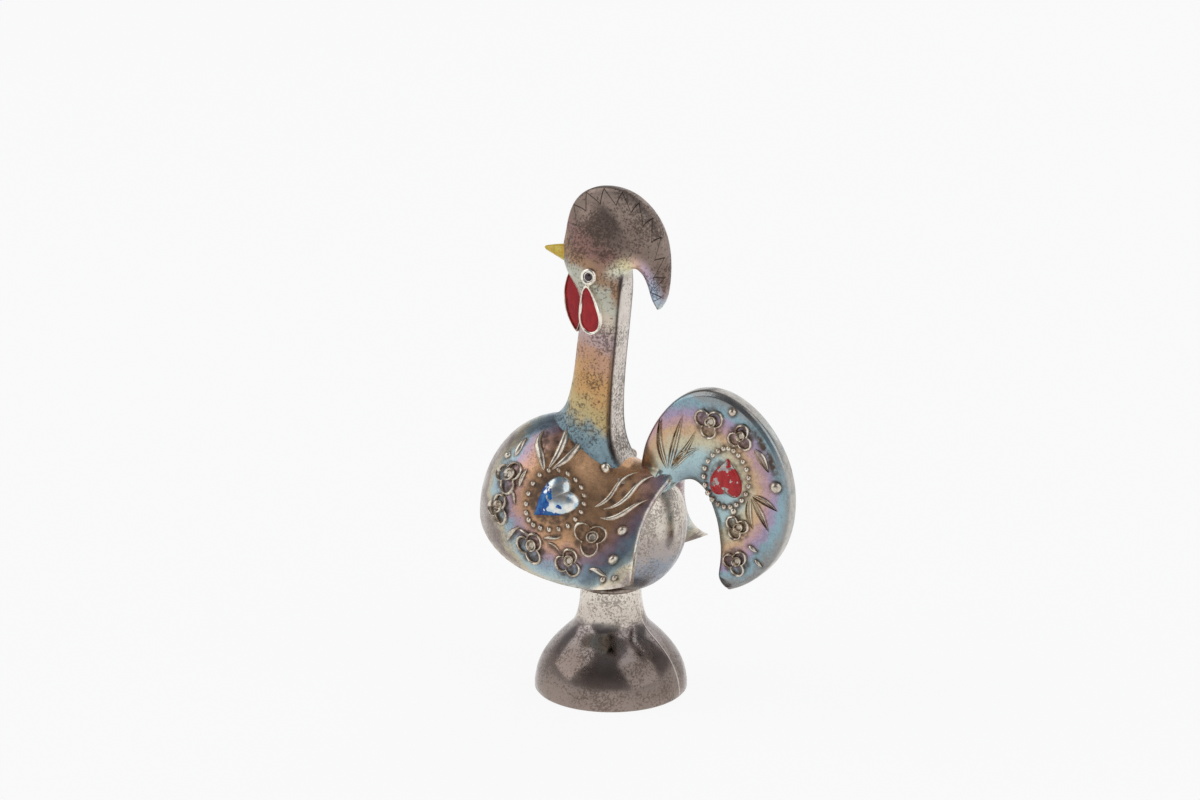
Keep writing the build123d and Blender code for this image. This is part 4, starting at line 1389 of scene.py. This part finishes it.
WING_LAYOUT = Layout(
    name="wing",
    heart=WING_HEART[::2],
    heart_turn=-41.0,
    heart_size=(17.6, 10.4),
    ring=(10.4, 7.9),
    ring_count=20,
    flowers=(
        ((-25.0, 69.0), 1.2, 40.0),
        ((-26.8, 59.4), 1.05, 75.0),
        ((-14.0, 50.2), 1.1, 60.0),
        ((3.8, 54.4), 1.2, 35.0),
        ((-1.6, 46.9), 1.0, 80.0),
    ),
    leaves=(
        ((-13.2, 72.0), (-17.4, 82.4), 1.6, 2.0, -0.5, LeafStyle.BLADE),
        ((-12.2, 72.4), (-12.0, 84.6), 1.35, -1.6, -0.5, LeafStyle.BLADE),
        ((-11.2, 72.4), (-5.4, 80.4), 1.2, -1.8, -0.3, LeafStyle.BLADE),
        ((3.0, 62.8), (12.2, 71.8), 1.1, 0.0, -1.1, LeafStyle.BLADE),
        ((5.4, 62.4), (18.0, 71.6), 1.15, -1.3, -1.2, LeafStyle.BLADE),
        ((5.2, 60.2), (18.4, 65.8), 1.25, -1.2, -0.6, LeafStyle.BLADE),
        ((-22.6, 50.6), (-17.8, 55.8), 0.9, 0.8, 0.0, LeafStyle.BLADE),
        ((-10.4, 53.0), (-4.2, 54.8), 0.75, -0.3, 0.3, LeafStyle.BLADE),
        ((-9.0, 52.2), (-4.2, 49.6), 0.5, 1.0, 0.0, LeafStyle.BLADE),
        ((-18.6, 55.0), (-13.6, 53.4), 0.6, 0.2, 0.0, LeafStyle.BLADE),
        ((-20.4, 66.8), (-18.6, 72.2), 0.8, 0.2, 0.0, LeafStyle.BLADE),
        ((-23.4, 66.4), (-20.6, 61.6), 0.55, 0.6, 0.0, LeafStyle.BLADE),
        ((4.6, 45.8), (11.4, 44.4), 0.95, 0.5, 0.3, LeafStyle.BLADE),
        ((-24.6, 74.2), (-22.6, 79.6), 1.15, 0.2, 0.0, LeafStyle.BLADE),
    ),
    studs=(
        ((12.6, 57.0), 1.0),
        ((11.6, 49.0), 1.0),
        ((2.6, 72.6), 1.05),
        ((9.8, 43.4), 0.6),
        ((13.6, 44.4), 0.6),
        ((-27.6, 74.0), 0.7),
    ),
)

TAIL_LAYOUT = Layout(
    name="tail",
    heart=TAIL_HEART[::2],
    heart_turn=176.0,
    heart_size=(12.0, 10.6),
    ring=(8.4, 7.3),
    ring_count=22,
    flowers=(
        ((34.2, 89.6), 1.1, 30.0),
        ((44.4, 86.2), 0.95, 75.0),
        ((43.6, 58.6), 0.9, 15.0),
        ((43.4, 47.6), 0.95, 50.0),
    ),
    leaves=(
        ((21.0, 73.0), (18.0, 88.8), 1.15, 1.2, 0.0, LeafStyle.VEINED),
        ((21.2, 73.0), (25.8, 91.4), 1.35, 0.3, 0.0, LeafStyle.VEINED),
        ((21.6, 73.4), (30.0, 87.2), 1.15, -0.6, 0.2, LeafStyle.VEINED),
        ((22.0, 73.2), (31.6, 81.6), 1.45, 1.3, 0.0, LeafStyle.VEINED),
        ((48.6, 83.6), (53.6, 76.6), 1.5, 0.5, 0.0, LeafStyle.VEINED),
        ((48.0, 69.2), (56.6, 65.2), 1.2, 0.6, 0.0, LeafStyle.VEINED),
        ((48.0, 68.8), (54.0, 58.4), 1.25, 0.2, 0.0, LeafStyle.VEINED),
        ((47.6, 68.6), (49.0, 58.2), 1.25, -0.9, 0.0, LeafStyle.VEINED),
        ((47.2, 53.6), (50.4, 51.8), 0.8, 0.0, 0.0, LeafStyle.BLADE),
        ((49.4, 49.6), (52.0, 47.4), 0.7, 0.0, 0.0, LeafStyle.BLADE),
    ),
    studs=(((55.8, 72.6), 1.1), ((41.6, 93.6), 0.8), ((42.4, 63.4), 0.7)),
)


@dataclass
class Dressing:
    """Builds the ornament of one layout on both sides and notes where it lies."""

    layout: Layout
    chart: Callable[[Place], Chart]
    forms: Ornament = field(default_factory=Ornament)

    def _put(self, skin: Skin, chart: Chart, patch: Patch, side: Side, hollow: float = 0.0) -> None:
        """Lays one patch on one side, its faces turned outwards."""
        points = chart.lay(patch)
        under = (patch[0].mean(keepdims=True), patch[1].mean(keepdims=True), np.array([-6.0]))
        inside = chart.lay(under).reshape(3)
        low = np.clip(1 - patch[2] / (0.55 * self.forms.relief), 0.0, 1.0) * hollow
        skin.add(side.turn(points), inside=side.turn(inside), wrap=self._round(patch), hollow=low)

    def _round(self, patch: Patch) -> bool:
        """True for a patch about a middle. Only the leaf's rows stay open."""
        return patch[0].shape[1] != self.forms.leaf_columns

    def notes(self) -> list[tuple[np.ndarray, float]]:
        """The middles and radii of what is raised, for the tarnish in the recesses beside it."""
        found: list[tuple[np.ndarray, float]] = []

        def note(chart: Chart, radius: float, a: float = 0.0, b: float = 0.0) -> None:
            spot = chart.lay((np.array([a]), np.array([b]), np.array([0.0])))
            found.append((spot.reshape(3), radius))

        for at, size, _ in self.layout.flowers:
            for way in round_angles(10):
                note(self.chart(at), 0.9, 3.2 * size * np.cos(way), 3.2 * size * np.sin(way))
            note(self.chart(at), 1.6 * size)
        for at, size in self.layout.studs:
            note(self.chart(at), 1.5 * size)
        for root, tip, width, _, _, style in self.layout.leaves:
            if style is LeafStyle.VEINED:
                continue
            chart = self.chart(root)
            a, b = chart.flat(tip)
            for share in (0.2, 0.4, 0.6, 0.8):
                note(chart, 0.6 * width, a * share, b * share)
        chart = self.chart(self.layout.heart)
        for a, b in self._beads():
            note(chart, 0.9, a, b)
        note(chart, 0.4 * self.layout.heart_size[0])
        return found

    def _beads(self) -> np.ndarray:
        """The flat places of the bead ring: an egg about the heart, pointed towards its tip."""
        angle = round_angles(self.layout.ring_count)
        turn = math.radians(self.layout.heart_turn)
        narrow = 1 - 0.22 * np.sin(angle / 2) ** 2 * (np.cos(angle) < 0) * -np.cos(angle)
        a = self.layout.ring[1] * np.sin(angle) * narrow
        b = self.layout.ring[0] * np.cos(angle) * np.where(np.cos(angle) < 0, 1.06, 1.1)
        c, s = math.cos(turn), math.sin(turn)
        return np.stack([a * c - b * s, a * s + b * c], -1)

    def build(self, side: Side, metal: Material, enamel: Material, enamel_slot: str) -> None:
        """Builds heart, beads, flowers, leaves and studs of one side.

        Args:
            side: Which side.
            metal: The raised silver.
            enamel: The heart's worn enamel.
            enamel_slot: The record's slot of that enamel.
        """
        lay, forms = self.layout, self.forms
        start = f"{side.word}_{lay.name}"
        heart, beads, flowers, leaves, studs = Skin(), Skin(), Skin(), Skin(), Skin()
        middle = self.chart(lay.heart)
        self._put(heart, middle, forms.heart(*lay.heart_size, math.radians(lay.heart_turn)), side)
        heart.build(f"{start}_worn_heart", enamel, enamel_slot, [f"{start}_heart"])
        for a, b in self._beads():
            da, db, h = forms.dome(forms.bead, forms.bead)
            self._put(beads, middle, (da + a, db + b, h), side)
        beads.build(f"{start}_bead_ring", metal, "bright_silver", [f"{start}_beads"])
        for at, size, turn in lay.flowers:
            chart = self.chart(at)
            way = math.radians(turn)
            self._put(flowers, chart, forms.trefoil(size, way), side, 0.15)
            cup = (forms.cup * size, 0.85 * forms.cup * size)
            spot = (forms.cup_shift * size * math.cos(way), forms.cup_shift * size * math.sin(way))
            self._put(flowers, chart, forms.ring(cup, spot, way, 1.6 * forms.relief, 0.2), side, 0.8)
        flowers.build(f"{start}_open_flowers", metal, "bright_silver", [f"{start}_flowers"])
        for root, tip, width, bow, curl, style in lay.leaves:
            chart = self.chart(root)
            self._put(leaves, chart, forms.leaf(chart.flat(tip), width, bow, curl, style), side, 0.3)
        leaves.build(f"{start}_leaf_sprays", metal, "bright_silver", [f"{start}_leaves"])
        for at, size in lay.studs:
            self._put(studs, self.chart(at), forms.dome(forms.stud * size, 1.5 * size), side)
        studs.build(f"{start}_round_studs", metal, "bright_silver", [f"{start}_studs"])


@dataclass
class Studio:
    """The pale floor, the soft lamps, the white surround and the camera at the photograph's angle."""

    camera_place: Triple = (0.3695, -0.7326, 0.3188)
    azimuth: float = 27.0
    elevation: float = 15.5
    lens: float = 85.0
    floor_radius: float = 8.0

    def build(self) -> None:
        """Builds everything that isn't part of the object."""
        self._floor()
        self._world()
        self._lamp("key_lamp", (-1.9, -0.9, 1.9), 22.0, 2.4)
        self._lamp("fill_lamp", (2.1, -0.2, 1.7), 16.0, 2.4)
        self._lamp("back_lamp", (0.2, 2.2, 1.7), 14.0, 2.4)
        self._camera()
        bpy.context.scene.view_settings.view_transform = "Standard"

    def _floor(self) -> None:
        """A wide disc: rings about the middle, even in angle, that step outwards."""
        angle = round_angles(96)[None, :]
        radius = np.array([0.0, 0.05, 0.2, 0.6, 2.0, self.floor_radius])[:, None] / MM
        disc = np.stack([radius * np.cos(angle), radius * np.sin(angle), 0 * radius * angle], -1)
        mesh = bpy.data.meshes.new("pale_floor")
        index = np.arange(6 * 96).reshape(6, 96)
        index = np.hstack([index, index[:, :1]])
        quads = np.stack([index[:-1, :-1], index[1:, :-1], index[1:, 1:], index[:-1, 1:]], -1).reshape(-1, 4)
        mesh.from_pydata((disc.reshape(-1, 3) * MM).tolist(), [], quads.tolist())
        material = bpy.data.materials.new("pale_floor")
        material.use_nodes = True
        w = Wiring(material.node_tree)
        path = w.node("ShaderNodeLightPath")
        seen = w.maths("MAXIMUM", path.outputs["Is Camera Ray"], path.outputs["Is Glossy Ray"])
        plain = w.node("ShaderNodeBsdfDiffuse")
        pale = ((0.3, (0.84, 0.84, 0.86)), (0.7, (0.87, 0.87, 0.88)))
        w.put(plain.inputs["Color"], w.ramp(w.noise(w.place(), 0.002), pale))
        glow = w.node("ShaderNodeEmission")
        w.put(glow.inputs["Color"], (1.0, 1.0, 1.0))
        mix = w.node("ShaderNodeMixShader")
        w.put(mix.inputs[0], w.maths("MULTIPLY", seen, 0.9))
        w.put(mix.inputs[1], plain.outputs[0])
        w.put(mix.inputs[2], glow.outputs[0])
        w.put(w.node("ShaderNodeOutputMaterial").inputs["Surface"], mix.outputs[0])
        mesh.materials.append(material)
        floor = bpy.data.objects.new("pale_floor", mesh)
        bpy.context.scene.collection.objects.link(floor)

    def _world(self) -> None:
        """White to the camera, and low down in reflections too; above that a room that darkens upwards."""
        world = bpy.data.worlds.new("white_surround")
        bpy.context.scene.world = world
        world.use_nodes = True
        w = Wiring(world.node_tree)
        split = w.node("ShaderNodeSeparateXYZ")
        w.put(split.inputs[0], w.node("ShaderNodeTexCoord").outputs["Generated"])
        stops = (
            (0.0, (0.85, 0.85, 0.87)),
            (0.12, (0.75, 0.75, 0.77)),
            (0.35, (0.32, 0.32, 0.34)),
            (0.7, (0.16, 0.16, 0.17)),
            (1.0, (0.26, 0.26, 0.28)),
        )
        room = w.node("ShaderNodeBackground")
        w.put(room.inputs["Color"], w.ramp(split.outputs["Z"], stops))
        w.put(room.inputs["Strength"], 1.0)
        white = w.node("ShaderNodeBackground")
        w.put(white.inputs["Color"], (0.98, 0.985, 1.0))
        w.put(white.inputs["Strength"], 1.0)
        mix = w.node("ShaderNodeMixShader")
        path = w.node("ShaderNodeLightPath")
        low = w.maths("SUBTRACT", 1.0, w.ranged(split.outputs["Z"], 0.1, 0.3))
        mirrored = w.maths("MAXIMUM", path.outputs["Is Glossy Ray"], path.outputs["Is Transmission Ray"])
        near_floor = w.maths("MULTIPLY", mirrored, low)
        w.put(mix.inputs[0], w.maths("MAXIMUM", path.outputs["Is Camera Ray"], near_floor))
        w.put(mix.inputs[1], room.outputs[0])
        w.put(mix.inputs[2], white.outputs[0])
        w.put(w.node("ShaderNodeOutputWorld").inputs["Surface"], mix.outputs[0])

    @staticmethod
    def _lamp(name: str, at: Triple, power: float, size: float) -> None:
        """A square soft lamp that faces the middle of the bird."""
        data = bpy.data.lights.new(name, "AREA")
        data.energy = power
        data.size = size
        lamp = bpy.data.objects.new(name, data)
        lamp.location = at
        away = np.array(at) - np.array([0.0, 0.0, 0.07])
        tilt = math.acos(away[2] / np.linalg.norm(away))
        lamp.rotation_euler = (tilt, 0.0, math.atan2(away[1], away[0]) + math.pi / 2)
        bpy.context.scene.collection.objects.link(lamp)

    def _camera(self) -> None:
        """The camera, at the azimuth and elevation of the photograph."""
        data = bpy.data.cameras.new("view_camera")
        data.lens = self.lens
        data.sensor_width = 36.0
        camera = bpy.data.objects.new("view_camera", data)
        camera.location = self.camera_place
        camera.rotation_euler = (math.radians(90 - self.elevation), 0.0, math.radians(self.azimuth))
        bpy.context.scene.collection.objects.link(camera)
        bpy.context.scene.camera = camera


def main() -> None:
    """Builds the classes in order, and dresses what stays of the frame."""
    logging.basicConfig(level=logging.INFO, format="%(name)s %(message)s")
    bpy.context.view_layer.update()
    effects = Effects()
    finishes = {
        "rim": RIM_SILVER.build(effects),
        "dark": DARK_SILVER.build(effects),
        "red": RED_ENAMEL.build(effects),
        "metal": BRIGHT_SILVER.build(effects),
    }
    metal = finishes["metal"]
    foot_metal = FOOT_SILVER.build(effects)
    mantle, face = Mantle(), Face()
    tail = Tail(mantle)
    wings = Dressing(WING_LAYOUT, lambda at: WingChart(mantle, at))
    plume = Dressing(TAIL_LAYOUT, lambda at: TailChart(tail, at))
    mantle.spots = wings.notes()
    tail.spots = plume.notes()
    Studio().build()
    Foot().build(foot_metal, SHADED_COLLAR_SILVER.build(effects))
    Belly().build(BELLY_SILVER.build(effects))
    mantle.build(WING_SILVER.build(effects))
    tail.build(TAIL_SILVER.build(effects))
    Crest().build(CREST_SILVER.build(effects))
    face.build_beak(YELLOW_ENAMEL.build(effects))
    blue, worn_red = WORN_BLUE.build(effects), WORN_RED.build(effects)
    for side in Side:
        face.build_side(side, finishes)
        wings.build(side, metal, blue, "blue_enamel")
        plume.build(side, metal, worn_red, "red_enamel")
    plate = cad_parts["foot_plate"]
    plate.data.materials.clear()
    plate.data.materials.append(foot_metal)


if __name__ == "__main__":
    main()
